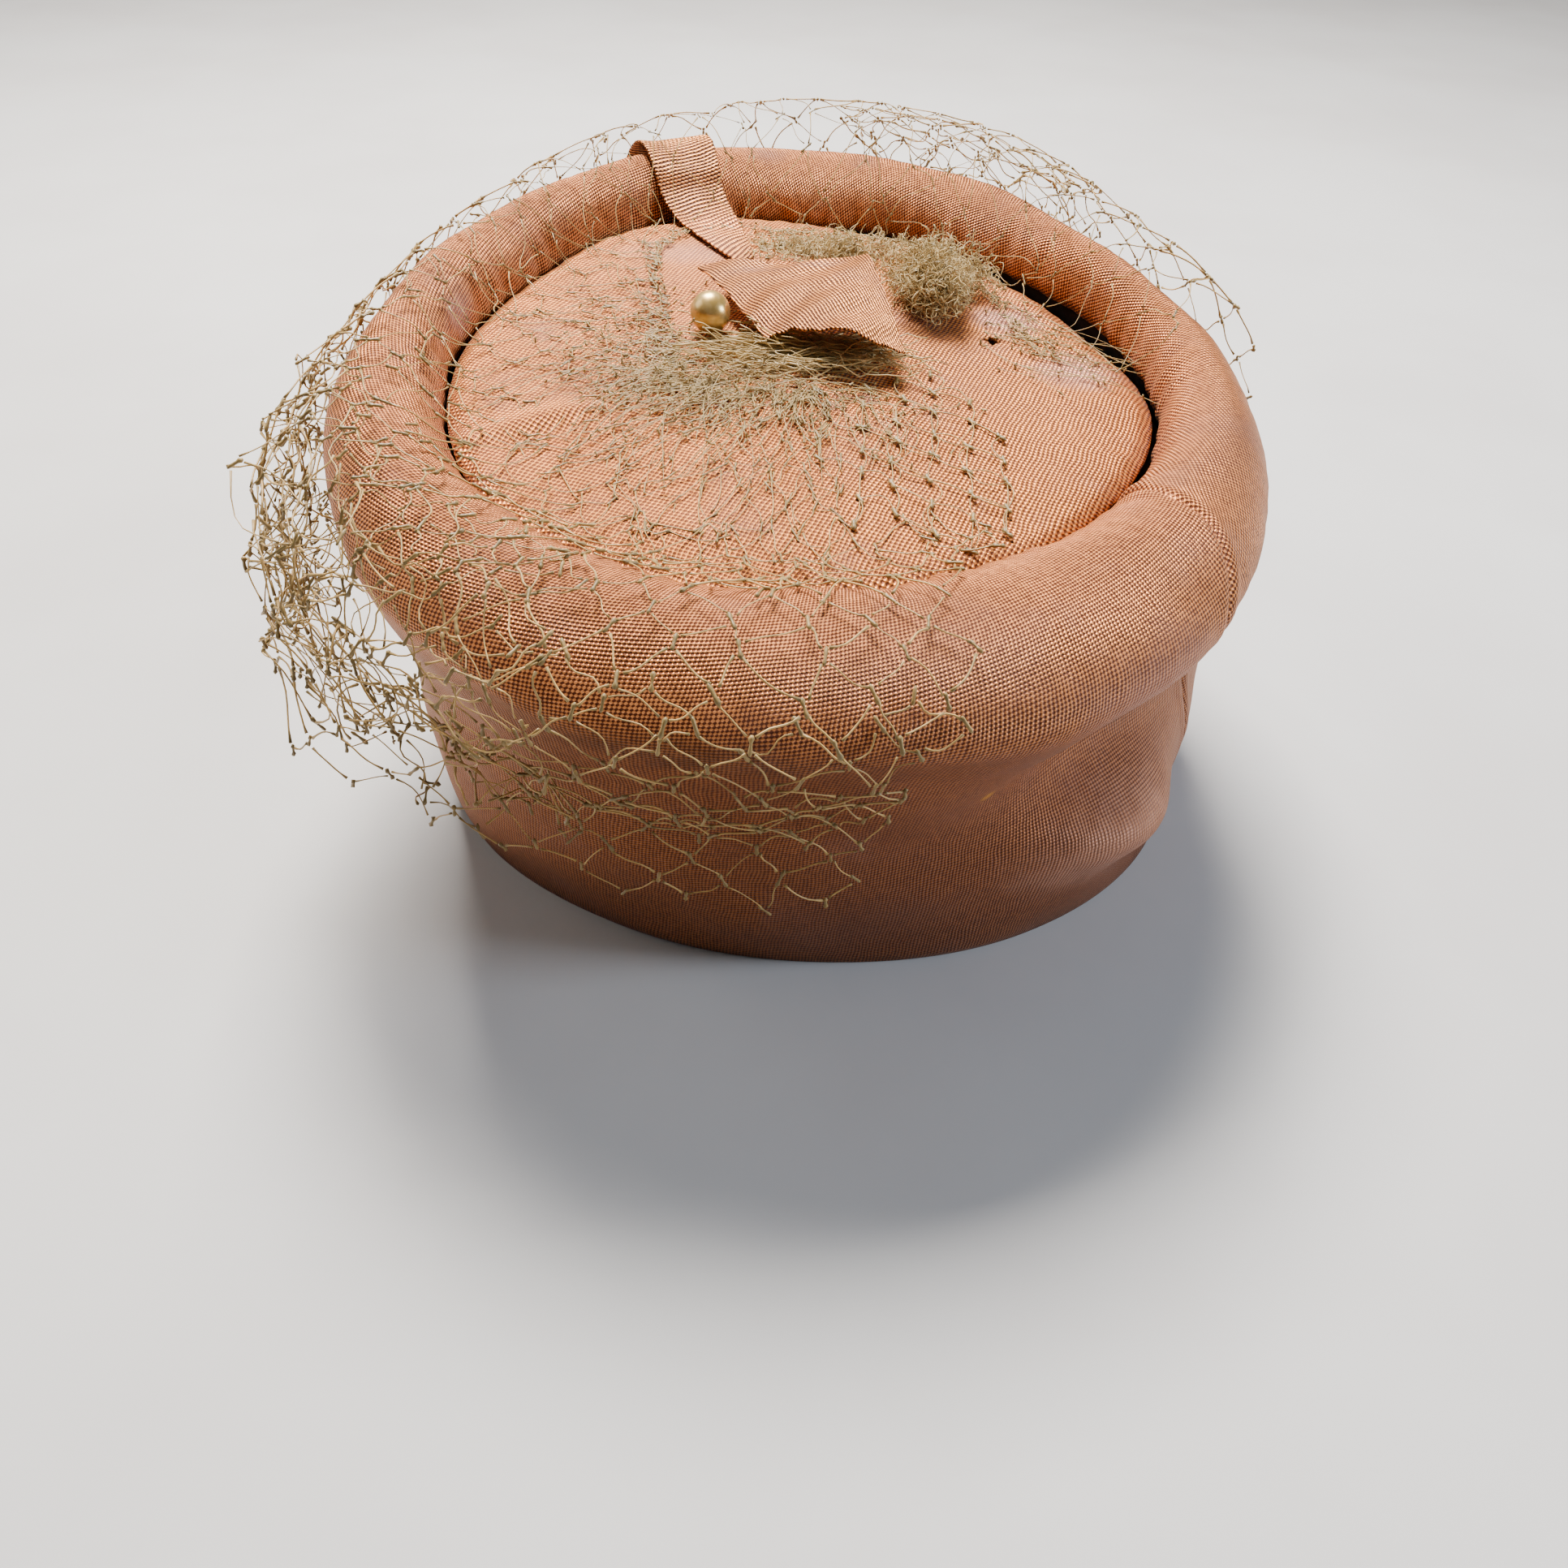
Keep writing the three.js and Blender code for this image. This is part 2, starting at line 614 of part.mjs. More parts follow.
function veilNormal(u, v) {
  const small = 0.004;
  const along = veilPoint(u + small, v).sub(veilPoint(u - small, v));
  const down = veilPoint(u, Math.min(1, v + small)).sub(veilPoint(u, Math.max(0, v - small)));
  return along.cross(down).normalize();
}

// Corners of one mesh of the net about its middle: a row that bends over the roll has its long
// sides split in two.
const meshCorners = [
  [0, -2 / 3], [0.5, -1 / 3], [0.5, 1 / 3],
  [0, 2 / 3], [-0.5, 1 / 3], [-0.5, -1 / 3],
];
const bentCorners = meshCorners.toSpliced(5, 0, [-0.5, 0]).toSpliced(2, 0, [0.5, 0]);
const bentRows = [2, 3, 4];

function veilGeometry() {
  const points = [];
  const faces = [];
  const shared = new Map();
  const wide = veilColumns + 0.5;
  const tall = veilRows + 1 / 3;
  const edges = new Map();
  const addPoint = (column, row) => {
    const u = column / wide;
    const v = row / tall;
    const middle = veilPoint(u, v);
    const normal = veilNormal(u, v).multiplyScalar(veilThickness / 2);
    points.push(middle.clone().add(normal), middle.clone().sub(normal));
    return points.length - 2;
  };
  const sharedPoint = (column, row) => {
    const key = `${column.toFixed(3)} ${row.toFixed(3)}`;
    if (!shared.has(key)) shared.set(key, addPoint(column, row));
    return shared.get(key);
  };
  for (let row = 0; row < veilRows; row += 1) {
    for (let column = 0; column < veilColumns; column += 1) {
      const middleColumn = column + 0.5 + (row % 2) * 0.5;
      const middleRow = row + 2 / 3;
      const corners = bentRows.includes(row) ? bentCorners : meshCorners;
      const outer = corners.map(([side, down]) => sharedPoint(middleColumn + side, middleRow + down));
      const inner = corners.map(([side, down]) => addPoint(
        middleColumn + side * veilOpenShare,
        middleRow + down * veilOpenShare,
      ));
      const count = outer.length;
      for (let k = 0; k < count; k += 1) {
        const next = (k + 1) % count;
        faces.push([outer[k], outer[next], inner[next], inner[k]]);
        faces.push([outer[k] + 1, inner[k] + 1, inner[next] + 1, outer[next] + 1]);
        faces.push([inner[k], inner[next], inner[next] + 1, inner[k] + 1]);
        const back = `${outer[next]} ${outer[k]}`;
        if (edges.has(back)) edges.delete(back);
        else edges.set(`${outer[k]} ${outer[next]}`, [outer[k], outer[next]]);
      }
    }
  }
  for (const [from, to] of edges.values()) {
    faces.push([to, from, from + 1, to + 1]);
  }
  return closedGeometry(points, faces);
}

// Finishes
const silk = { color: 0xc08a6a, roughness: 0.55, metalness: 0.05 };
const silkSide = { ...silk, color: 0xa8714f };
const ribbon = { ...silk, color: 0xd09c7c };
const net = { color: 0x8f7f52, roughness: 0.7, metalness: 0 };
const pearl = { color: 0xd9c38e, roughness: 0.25, metalness: 0.1 };

const hat = new THREE.Group();

function addPiece(name, geometry, finish) {
  const piece = new THREE.Mesh(geometry, new THREE.MeshStandardMaterial(finish));
  piece.name = name;
  hat.add(piece);
}

addPiece('side_band', bandGeometry, silkSide);
addPiece('tip', tipGeometry(), silk);
addPiece('net_gather', gatherGeometry, net);
addPiece('net_tuft', tuftGeometry, net);
addPiece('bead', beadGeometry(), pearl);
addPiece('ribbon_strap', strapGeometry(), ribbon);
addPiece('ribbon_leaf', leafGeometry(), ribbon);
addPiece('veil', veilGeometry(), net);

// The origin is the middle of the whole hat's outline, on the surface that its rim stands on.
const bounds = new THREE.Box3().setFromObject(hat);
const middle = bounds.getCenter(new THREE.Vector3());
hat.position.set(-middle.x, -middle.y, -bounds.min.z);

export default hat;
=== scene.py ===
"""Looks of a pillbox hat in rose gold shot silk, with a ribbon bow, a pearl and a net veil.

Lengths are metres and angles degrees. The crown is worked out about its own origin, the middle
of the rim, with +Z up and the front towards -Y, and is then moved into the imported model's frame.
Angles run anticlockwise from the hat's right side in the picture, so 270 is the front.
"""

import logging
import math
from collections.abc import Sequence
from dataclasses import dataclass
from enum import Enum
from typing import NamedTuple

import bpy
import numpy as np
from mathutils import Matrix, Vector


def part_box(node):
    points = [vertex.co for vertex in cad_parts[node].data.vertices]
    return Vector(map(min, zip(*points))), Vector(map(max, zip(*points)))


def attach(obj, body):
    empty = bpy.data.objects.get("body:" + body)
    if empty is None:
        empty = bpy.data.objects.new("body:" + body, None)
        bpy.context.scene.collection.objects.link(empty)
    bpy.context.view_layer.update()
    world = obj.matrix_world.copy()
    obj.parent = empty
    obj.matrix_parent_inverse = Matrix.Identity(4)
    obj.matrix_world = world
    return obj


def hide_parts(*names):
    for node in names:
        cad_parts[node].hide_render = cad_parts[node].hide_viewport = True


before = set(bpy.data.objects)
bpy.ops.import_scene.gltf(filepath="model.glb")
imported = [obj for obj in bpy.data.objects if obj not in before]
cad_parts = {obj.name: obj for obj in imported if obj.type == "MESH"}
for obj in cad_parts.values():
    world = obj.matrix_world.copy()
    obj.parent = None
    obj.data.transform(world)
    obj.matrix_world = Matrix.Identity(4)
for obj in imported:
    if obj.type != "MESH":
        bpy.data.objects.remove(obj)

LOG = logging.getLogger("pillbox_hat")
MM = 0.001
TINY = 1e-12

Array = np.ndarray
Dice = np.random.Generator
Colour = tuple[float, float, float, float]
Place = tuple[float, float, float]
Pair = tuple[float, float]
Socket = bpy.types.NodeSocket
Material = bpy.types.Material
Piece = bpy.types.Object


class Station(NamedTuple):
    """One of twelve sections round the crown, from its right side on, as shares of its named sizes."""

    outline: float
    roll: float
    rim: float
    waist: float
    gap: float


STATIONS = (
    Station(1.015, 0.78, 1.010, -0.60, 0.06),
    Station(0.970, 0.58, 0.990, -0.17, 0.13),
    Station(1.028, 0.95, 0.990, 0.00, 0.09),
    Station(1.021, 1.07, 0.995, 0.01, 0.07),
    Station(0.988, 0.78, 0.995, 0.02, 0.04),
    Station(0.958, 0.76, 0.995, 0.13, 0.03),
    Station(0.990, 0.76, 1.010, 0.32, 0.04),
    Station(1.055, 1.05, 1.052, -0.16, 0.02),
    Station(1.045, 1.33, 1.010, -0.08, 0.02),
    Station(1.000, 1.43, 1.002, 0.00, 0.02),
    Station(1.024, 1.55, 1.046, 0.02, 0.02),
    Station(1.028, 1.22, 1.080, 0.08, 0.03),
)


class Dent(NamedTuple):
    """A dent or bulge of the side wall: place, size and push, as shares of the crown's sizes."""

    at: float
    height: float
    along: float
    tall: float
    turn: float
    push: float


DENTS = (
    Dent(311, 0.56, 0.17, 0.13, 18, -0.21),
    Dent(315, 0.26, 0.14, 0.15, 14, 0.17),
    Dent(288, 0.38, 0.16, 0.20, 20, -0.07),
    Dent(255, 0.52, 0.22, 0.12, -6, -0.07),
    Dent(214, 0.50, 0.14, 0.20, 10, -0.09),
    Dent(135, 0.48, 0.20, 0.20, -12, -0.10),
    Dent(62, 0.45, 0.22, 0.18, 14, -0.09),
)


class Pucker(NamedTuple):
    """A soft hollow or swell of the top panel."""

    side: float
    back: float
    reach: float
    push: float


PUCKERS = (
    Pucker(-0.38, 0.22, 0.20, -0.45),
    Pucker(0.10, -0.30, 0.34, 0.40),
    Pucker(0.52, 0.18, 0.22, -0.35),
    Pucker(0.30, 0.62, 0.22, -0.40),
    Pucker(-0.48, -0.35, 0.24, -0.25),
)


class Hang(NamedTuple):
    """How the veil lies at one of twelve places round the crown."""

    start: float
    crest: float
    stand: float
    hem: float
    hang: float


DRAPE = (
    Hang(0.66, 0.16, 0.34, 0.72, 0.50),
    Hang(0.70, 0.28, 0.50, 0.66, 0.60),
    Hang(0.86, 0.46, 0.55, 0.60, 0.60),
    Hang(0.78, 0.44, 0.42, 0.58, 0.50),
    Hang(0.80, 0.26, 0.28, 0.56, 0.42),
    Hang(0.50, 0.10, 0.12, 0.54, 0.45),
    Hang(0.38, 0.06, 0.14, 0.50, 0.95),
    Hang(0.34, 0.07, 0.50, 0.50, 1.15),
    Hang(0.27, 0.06, 0.26, 0.45, 0.40),
    Hang(0.24, 0.05, 0.08, 0.31, 0.12),
    Hang(0.32, 0.05, 0.08, 0.60, 0.10),
    Hang(0.50, 0.08, 0.12, 0.60, 0.16),
)


# The curved seam at the right, as angles round the crown: on the roll by turn, on the wall by share
SEAM_TURNS = (-20, 10, 21, 40.5, 56, 78, 98.5, 124.5, 150, 285)
SEAM_ROUND_ROLL = (320.2, 320.4, 321.0, 323.0, 324.3, 326.5, 327.5, 329.5, 331.0, 333.0)
SEAM_SHARES = (0.0, 0.05, 0.15, 0.40, 1.0)
SEAM_DOWN_WALL = (320.2, 323.5, 329.5, 336.0, 338.0)

# The veil's cut front edge, as angles by share of its length, and how far its hem hangs lower
NET_EDGE_DOWN = (0.0, 0.30, 0.36, 0.40, 0.50, 0.58, 0.68, 0.76, 1.0)
NET_EDGE_ANGLES = (280.0, 283.0, 312.0, 312.0, 299.0, 292.0, 286.0, 282.0, 276.0)
NET_HEM_ANGLES = (225.0, 238.0, 250.0, 270.0, 284.0, 300.0)
NET_HEM_EXTRA = (0.0, 0.02, 0.04, -0.01, -0.02, -0.03)


def round_table(values: Sequence[float], angle: Array) -> Array:
    """Value of a table round the crown, smooth between its rows.

    Args:
        values: One value for each station, evenly spaced round the crown.
        angle: Places round the crown in degrees.

    Returns:
        The smoothed values, in the shape of angle.
    """
    table = np.asarray(values, float)
    rows = len(table)
    place = np.mod(angle / 360.0, 1.0) * rows
    row = np.floor(place).astype(int) % rows
    share = place - np.floor(place)
    return between(*(table[(row + step) % rows] for step in (-1, 0, 1, 2)), share)


def between(a: Array, b: Array, c: Array, d: Array, share: Array) -> Array:
    """Value between b at share 0 and c at share 1, on a smooth curve through a, b, c and d.

    Args:
        a: Values one row before b.
        b: Values where share is 0.
        c: Values where share is 1.
        d: Values one row after c.
        share: How far along from b to c.

    Returns:
        The values between the rows.
    """
    slope = (c - a) * share
    bend = (2 * a - 5 * b + 4 * c - d) * share**2
    twist = (3 * b - a - 3 * c + d) * share**3
    return (2 * b + slope + bend + twist) / 2


def smooth_step(value: Array | float, low: float, high: float) -> Array:
    """Value eased from 0 at low to 1 at high."""
    share = np.clip((value - low) / (high - low), 0, 1)
    return share * share * (3 - 2 * share)


def unit(vectors: Array) -> Array:
    """Vectors scaled to a length of one along their last axis."""
    return vectors / np.maximum(np.linalg.norm(vectors, axis=-1, keepdims=True), TINY)


WAVE_COUNT = 6
WAVE_PITCHES = (0.55, 1.6)


def waves(place: Array, seed: int) -> Array:
    """A smooth repeatable noise made of a few sine waves in random directions.

    Args:
        place: Points in units of the noise's own size, of two or three coordinates.
        seed: Number that picks the waves.

    Returns:
        Values mostly from -1 to 1, one for each point.
    """
    dice = np.random.default_rng(seed)
    total = np.zeros(place.shape[:-1])
    for _ in range(WAVE_COUNT):
        way = dice.normal(size=place.shape[-1])
        way /= np.linalg.norm(way)
        pitch = 2 * math.pi * dice.uniform(*WAVE_PITCHES)
        total += np.sin(place @ way * pitch + dice.uniform(0, 2 * math.pi))
    return total / math.sqrt(WAVE_COUNT)


@dataclass(frozen=True)
class CrownForm:
    """The crown's surface: the padded roll, the wall down to the rim, and the sunken top panel."""

    width: float = 0.188
    depth: float = 0.212
    shift_side: float = -0.003
    shift_back: float = 0.003
    height: float = 0.102
    slope_side: float = -0.051
    slope_back: float = 0.094
    roll_height: float = 0.024
    crease_depth: float = 0.0101
    wall: float = 0.0025
    rim_width: float = 0.176
    rim_depth: float = 0.174
    rim_back: float = 0.008
    seat_gap: float = 0.0003
    dome: float = 0.0018
    dome_reach: float = 0.75
    wall_leaves: float = -20.0
    wall_start: float = -22.0
    dents_reach: float = 75.0
    solid_columns: int = 76
    solid_roll_step: float = 18.0
    solid_wall_rings: int = 13

    @property
    def roll_radius(self) -> float:
        """Half of the roll's height."""
        return self.roll_height / 2

    def level(self, x: Array, y: Array, level: Array) -> Array:
        """Height on the sloping crown, at a level given for its middle."""
        return level + self.slope_side * x + self.slope_back * y

    def dent(self, angle: Array, height: Array) -> Array:
        """How far the dents push the wall out at an angle and a height.

        Args:
            angle: Places round the crown.
            height: Heights above the rim.

        Returns:
            The distance, below 0 where the wall is pushed in.
        """
        push = np.zeros(np.broadcast(angle, height).shape)
        for dent in DENTS:
            away = np.radians(np.mod(angle - dent.at + 180, 360) - 180)
            side = away * self.width / 2
            rise = height - dent.height * self.height
            turn = math.radians(dent.turn)
            along = (side * math.cos(turn) + rise * math.sin(turn)) / (dent.along * self.width)
            tall = (rise * math.cos(turn) - side * math.sin(turn)) / (dent.tall * self.height)
            push += dent.push * self.roll_height * np.exp(-(along**2) - tall**2)
        return push

    @staticmethod
    def moved_out(point: Array, angle: Array, distance: Array) -> Array:
        """Points moved straight out from the crown's middle."""
        turn = np.radians(angle)
        return point + np.stack([distance * np.cos(turn), distance * np.sin(turn), 0 * distance * turn], -1)

    def roll(
        self,
        angle: Array,
        turn: Array,
        proud: Array | float = 0.0,
        rise: float | None = None,
        dented: bool = True,
    ) -> Array:
        """Points of the padded roll.

        Args:
            angle: Places round the crown.
            turn: Places round its section: 0 faces out, 90 is the crest, 180 faces in.
            proud: Height above the roll's surface.
            rise: Height above the roll's middle that overrules the section's own, or None.
            dented: Whether the dents of the wall reach the roll.

        Returns:
            The points, three coordinates each.
        """
        angle, turn, proud = np.broadcast_arrays(np.asarray(angle, float), turn, proud)
        half = self.roll_radius * round_table([s.roll for s in STATIONS], angle)
        outline = round_table([s.outline for s in STATIONS], angle)
        inset = (half + proud) * np.cos(np.radians(turn)) - half
        x = self.shift_side + (self.width / 2 * outline + inset) * np.cos(np.radians(angle))
        y = self.shift_back + (self.depth / 2 * outline + inset) * np.sin(np.radians(angle))
        up = (self.roll_radius + proud) * np.sin(np.radians(turn)) if rise is None else rise + 0 * x
        point = np.stack([x, y, self.level(x, y, self.height - self.roll_radius + up)], -1)
        if not dented:
            return point
        share = smooth_step(self.dents_reach - turn, 0, self.dents_reach - self.wall_leaves)
        return self.moved_out(point, angle, share * self.dent(angle, point[..., 2]))

    def wall_point(self, angle: Array, share: Array, proud: Array | float = 0.0) -> Array:
        """Points of the side wall.

        Args:
            angle: Places round the crown.
            share: Places down the wall, from 0 where it leaves the roll to 1 at the rim.
            proud: Height above the wall's outer surface.

        Returns:
            The points, three coordinates each.
        """
        angle, share, proud = np.broadcast_arrays(np.asarray(angle, float), share, proud)
        top = self.roll(angle, self.wall_leaves, dented=False)
        further = self.roll(angle, self.wall_start, dented=False)
        rim = round_table([s.rim for s in STATIONS], angle)
        turn = np.radians(angle)
        foot = np.stack(
            [
                self.rim_width / 2 * rim * np.cos(turn),
                self.rim_back + self.rim_depth / 2 * rim * np.sin(turn),
                0 * turn,
            ],
            -1,
        )
        down = foot - top
        leave = unit(further - top) * np.linalg.norm(down, axis=-1, keepdims=True)
        part = share[..., None]
        point = top + leave * part * (1 - part) ** 2
        point = point + down * (part**2 * (3 - 2 * part) - part**2 * (1 - part))
        waist = round_table([s.waist for s in STATIONS], angle) * self.roll_radius
        waist = waist * 4 * share * (1 - share)
        return self.moved_out(point, angle, proud - waist + self.dent(angle, point[..., 2]))

    def tip_edge(self, angle: Array, share: Array | float) -> Array:
        """Points over the top panel, from its middle at 0 to its edge in the crease at 1.

        Args:
            angle: Places round the crown.
            share: How far out on the panel.

        Returns:
            The points, three coordinates each.
        """
        gap = self.seat_gap + round_table([s.gap for s in STATIONS], angle) * self.roll_height
        edge = self.roll(angle, 180.0, 0.0, self.roll_radius - self.crease_depth)
        turn = np.radians(angle)
        x = self.shift_side + (edge[..., 0] - self.shift_side - gap * np.cos(turn)) * share
        y = self.shift_back + (edge[..., 1] - self.shift_back - gap * np.sin(turn)) * share
        return np.stack([x, y, self.tip_height(x, y)], -1)

    def tip_height(self, x: Array, y: Array) -> Array:
        """Height of the top panel's upper side.

        Args:
            x: Places from side to side.
            y: Places from front to back.

        Returns:
            The heights.
        """
        side = (x - self.shift_side) / (self.width / 2)
        back = (y - self.shift_back) / (self.width / 2)
        rise = np.maximum(0, 1 - (side**2 + back**2) / self.dome_reach)
        for pucker in PUCKERS:
            away = ((side - pucker.side) ** 2 + (back - pucker.back) ** 2) / pucker.reach**2
            rise = rise + pucker.push * np.exp(-away)
        return self.level(x, y, self.height - self.crease_depth + rise * self.dome)

    def frame_shift(self) -> Array:
        """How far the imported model's frame lies from the hat's own origin.

        Returns:
            The distance along each axis, from the middles of the two outlines.
        """
        low, high = (np.array(corner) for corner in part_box("side_band"))
        angle = np.arange(0, 360, 360 / self.solid_columns)[None, :]
        turns = np.arange(self.wall_leaves, 180, self.solid_roll_step)[:, None]
        shares = np.linspace(0, 1, self.solid_wall_rings)[:, None]
        points = np.concatenate([self.roll(angle, turns), self.wall_point(angle, shares)])
        own = (points.min((0, 1)) + points.max((0, 1))) / 2
        return np.array([*(((low + high) / 2 - own)[:2]), 0.0])


FORM = CrownForm()
SHIFT = FORM.frame_shift()


def mesh_object(name: str, points: Array, faces: list[tuple[int, ...]], finish: Material) -> Piece:
    """A smooth mesh object in the model's frame.

    Args:
        name: Name of the piece.
        points: Vertices about the hat's own origin.
        faces: Corners of each face, seen from outside anticlockwise.
        finish: Its first material.

    Returns:
        The new object, at the origin.
    """
    mesh = bpy.data.meshes.new(name)
    mesh.from_pydata((np.asarray(points) + SHIFT).tolist(), [], faces)
    mesh.polygons.foreach_set("use_smooth", [True] * len(mesh.polygons))
    mesh.materials.append(finish)
    piece = bpy.data.objects.new(name, mesh)
    bpy.context.collection.objects.link(piece)
    return piece


def set_uv(piece: Piece, coordinates: Array) -> None:
    """Gives a piece a UV map from one coordinate pair for each vertex.

    Args:
        piece: The piece.
        coordinates: The pairs, in metres along the cloth.
    """
    mesh = piece.data
    corners = np.empty(len(mesh.loops), int)
    mesh.loops.foreach_get("vertex_index", corners)
    layer = mesh.uv_layers.new(name="cloth")
    layer.data.foreach_set("uv", coordinates[corners].astype(np.float32).ravel())


def set_tone(piece: Piece, tone: Array) -> None:
    """Gives a piece an attribute of one number for each vertex, which its finish reads."""
    attribute = piece.data.attributes.new("tone", "FLOAT", "POINT")
    attribute.data.foreach_set("value", tone.astype(np.float32).ravel())


def apply_modifiers(piece: Piece) -> None:
    """Applies all modifiers of a piece, in their order.

    Args:
        piece: The piece.
    """
    bpy.ops.object.select_all(action="DESELECT")
    piece.select_set(True)
    bpy.context.view_layer.objects.active = piece
    for modifier in list(piece.modifiers):
        bpy.ops.object.modifier_apply(modifier=modifier.name)


Value = Socket | float | tuple[float, ...]
MIX_FIRST = 6
MIX_SECOND = 7
MIX_RESULT = 2


class Board:
    """A material's node tree, with short ways to add the nodes that the finishes need.

    The Mix node's numbered sockets above are those of its two colours and their mixture.
    """

    def __init__(self, name: str) -> None:
        """Starts a material that holds one shader.

        Args:
            name: The material's name.
        """
        self.material = bpy.data.materials.new(name)
        self.material.use_nodes = True
        self.nodes = self.material.node_tree.nodes
        self.links = self.material.node_tree.links
        self.shader = self.nodes["Principled BSDF"]

    def link(self, value: Value, socket: Socket) -> None:
        """Joins a socket to another one, or sets it to a plain value.

        Args:
            value: Another node's output, or a plain number or colour.
            socket: The input that takes it.
        """
        if isinstance(value, Socket):
            self.links.new(value, socket)
        else:
            socket.default_value = value

    def set(self, **values: float | Colour) -> None:
        """Sets plain values on the shader's own sockets, named with _ in place of spaces."""
        for name, value in values.items():
            self.shader.inputs[name.replace("_", " ")].default_value = value

    def math(self, operation: str, *values: Value, clamp: bool = False) -> Socket:
        """A Math node on up to three values.

        Args:
            operation: What the node does.
            values: Its values.
            clamp: Whether the result stays from 0 to 1.

        Returns:
            Its result.
        """
        node = self.nodes.new("ShaderNodeMath")
        node.operation = operation
        node.use_clamp = clamp
        for value, socket in zip(values, node.inputs):
            self.link(value, socket)
        return node.outputs[0]

    def mix(self, share: Value, first: Value, second: Value) -> Socket:
        """A colour mixed from two.

        Args:
            share: How much of the second.
            first: One colour.
            second: The other colour.

        Returns:
            The mixture.
        """
        node = self.nodes.new("ShaderNodeMix")
        node.data_type = "RGBA"
        self.link(share, node.inputs[0])
        self.link(first, node.inputs[MIX_FIRST])
        self.link(second, node.inputs[MIX_SECOND])
        return node.outputs[MIX_RESULT]

    def span(self, value: Value, low: float, high: float, first: float = 0.0, last: float = 1.0) -> Socket:
        """A value eased from first at low to last at high.

        Args:
            value: The value.
            low: Where the easing starts.
            high: Where it ends.
            first: The result up to low.
            last: The result from high on.

        Returns:
            The result.
        """
        node = self.nodes.new("ShaderNodeMapRange")
        node.interpolation_type = "SMOOTHSTEP"
        for socket, number in zip(node.inputs, (value, low, high, first, last)):
            self.link(number, socket)
        return node.outputs[0]

    def noise(self, place: Value, scale: float, detail: float = 3.0, rough: float = 0.55) -> Socket:
        """A noise's value at a place.

        Args:
            place: The place.
            scale: Lumps to the metre.
            detail: How many finer noises are added.
            rough: How strong those are.

        Returns:
            Its value, mostly from 0.3 to 0.7.
        """
        node = self.nodes.new("ShaderNodeTexNoise")
        self.link(place, node.inputs["Vector"])
        node.inputs["Scale"].default_value = scale
        node.inputs["Detail"].default_value = detail
        node.inputs["Roughness"].default_value = rough
        return node.outputs["Fac"]

    def place(self) -> Socket:
        """Object coordinates."""
        return self.nodes.new("ShaderNodeTexCoord").outputs["Object"]

    def cloth(self) -> Socket:
        """The piece's own UV map, in metres along its cloth.

        Returns:
            The map's coordinates.
        """
        node = self.nodes.new("ShaderNodeUVMap")
        node.uv_map = "cloth"
        return node.outputs[0]

    def tone(self) -> Socket:
        """The piece's own attribute of one number.

        Returns:
            The number.
        """
        node = self.nodes.new("ShaderNodeAttribute")
        node.attribute_name = "tone"
        return node.outputs["Fac"]

    def split(self, vector: Value) -> tuple[Socket, ...]:
        """The three parts of a vector.

        Args:
            vector: The vector.

        Returns:
            Its x, y and z.
        """
        node = self.nodes.new("ShaderNodeSeparateXYZ")
        self.link(vector, node.inputs[0])
        return tuple(node.outputs)

    def away(self, place: Value, centre: Place, reach: Place) -> Socket:
        """Distance from a centre, in units of a reach along each axis.

        Args:
            place: Where it is measured.
            centre: The centre.
            reach: The unit along each axis.

        Returns:
            The distance.
        """
        for operation, other in (("SUBTRACT", centre), ("DIVIDE", reach)):
            node = self.nodes.new("ShaderNodeVectorMath")
            node.operation = operation
            self.link(place, node.inputs[0])
            node.inputs[1].default_value = other
            place = node.outputs[0]
        length = self.nodes.new("ShaderNodeVectorMath")
        length.operation = "LENGTH"
        self.link(place, length.inputs[0])
        return length.outputs["Value"]

    def bump(self, height: Value, distance: float, strength: float, under: Socket | None = None) -> Socket:
        """A bumped normal from a height, over another bump or none.

        Args:
            height: The height, mostly from 0 to 1.
            distance: What 1 is in metres.
            strength: How much the bump shows.
            under: Another bump's normal, or None.

        Returns:
            The normal.
        """
        node = self.nodes.new("ShaderNodeBump")
        node.inputs["Strength"].default_value = strength
        node.inputs["Distance"].default_value = distance
        self.link(height, node.inputs["Height"])
        if under is not None:
            self.link(under, node.inputs["Normal"])
        return node.outputs[0]


class StainAndLight(NamedTuple):
    """A soft patch of colour, a real mark or painted shade, shadow or highlight: its centre in the model's
    frame, its reach, its colour and its strength.
    """

    centre: Place
    reach: Place
    colour: Colour
    strength: float


# Colours of soil, of faded patches, and of painted shade, shadow and highlight
MAUVE = (0.27, 0.135, 0.115, 1.0)
OCHRE = (0.62, 0.27, 0.02, 1.0)
DUSK = (0.17, 0.085, 0.070, 1.0)
LILAC = (0.40, 0.215, 0.18, 1.0)
# Painted shade of the valley under the roll
VALLEY_SHADE = (0.135, 0.072, 0.055, 1.0)
# Painted highlight of the bulge on the wall
BULGE_HIGHLIGHT = (0.72, 0.38, 0.26, 1.0)
# Painted shadow under the bow
BOW_SHADOW = (0.020, 0.012, 0.010, 1.0)
SHADED = (0.080, 0.028, 0.010, 1.0)


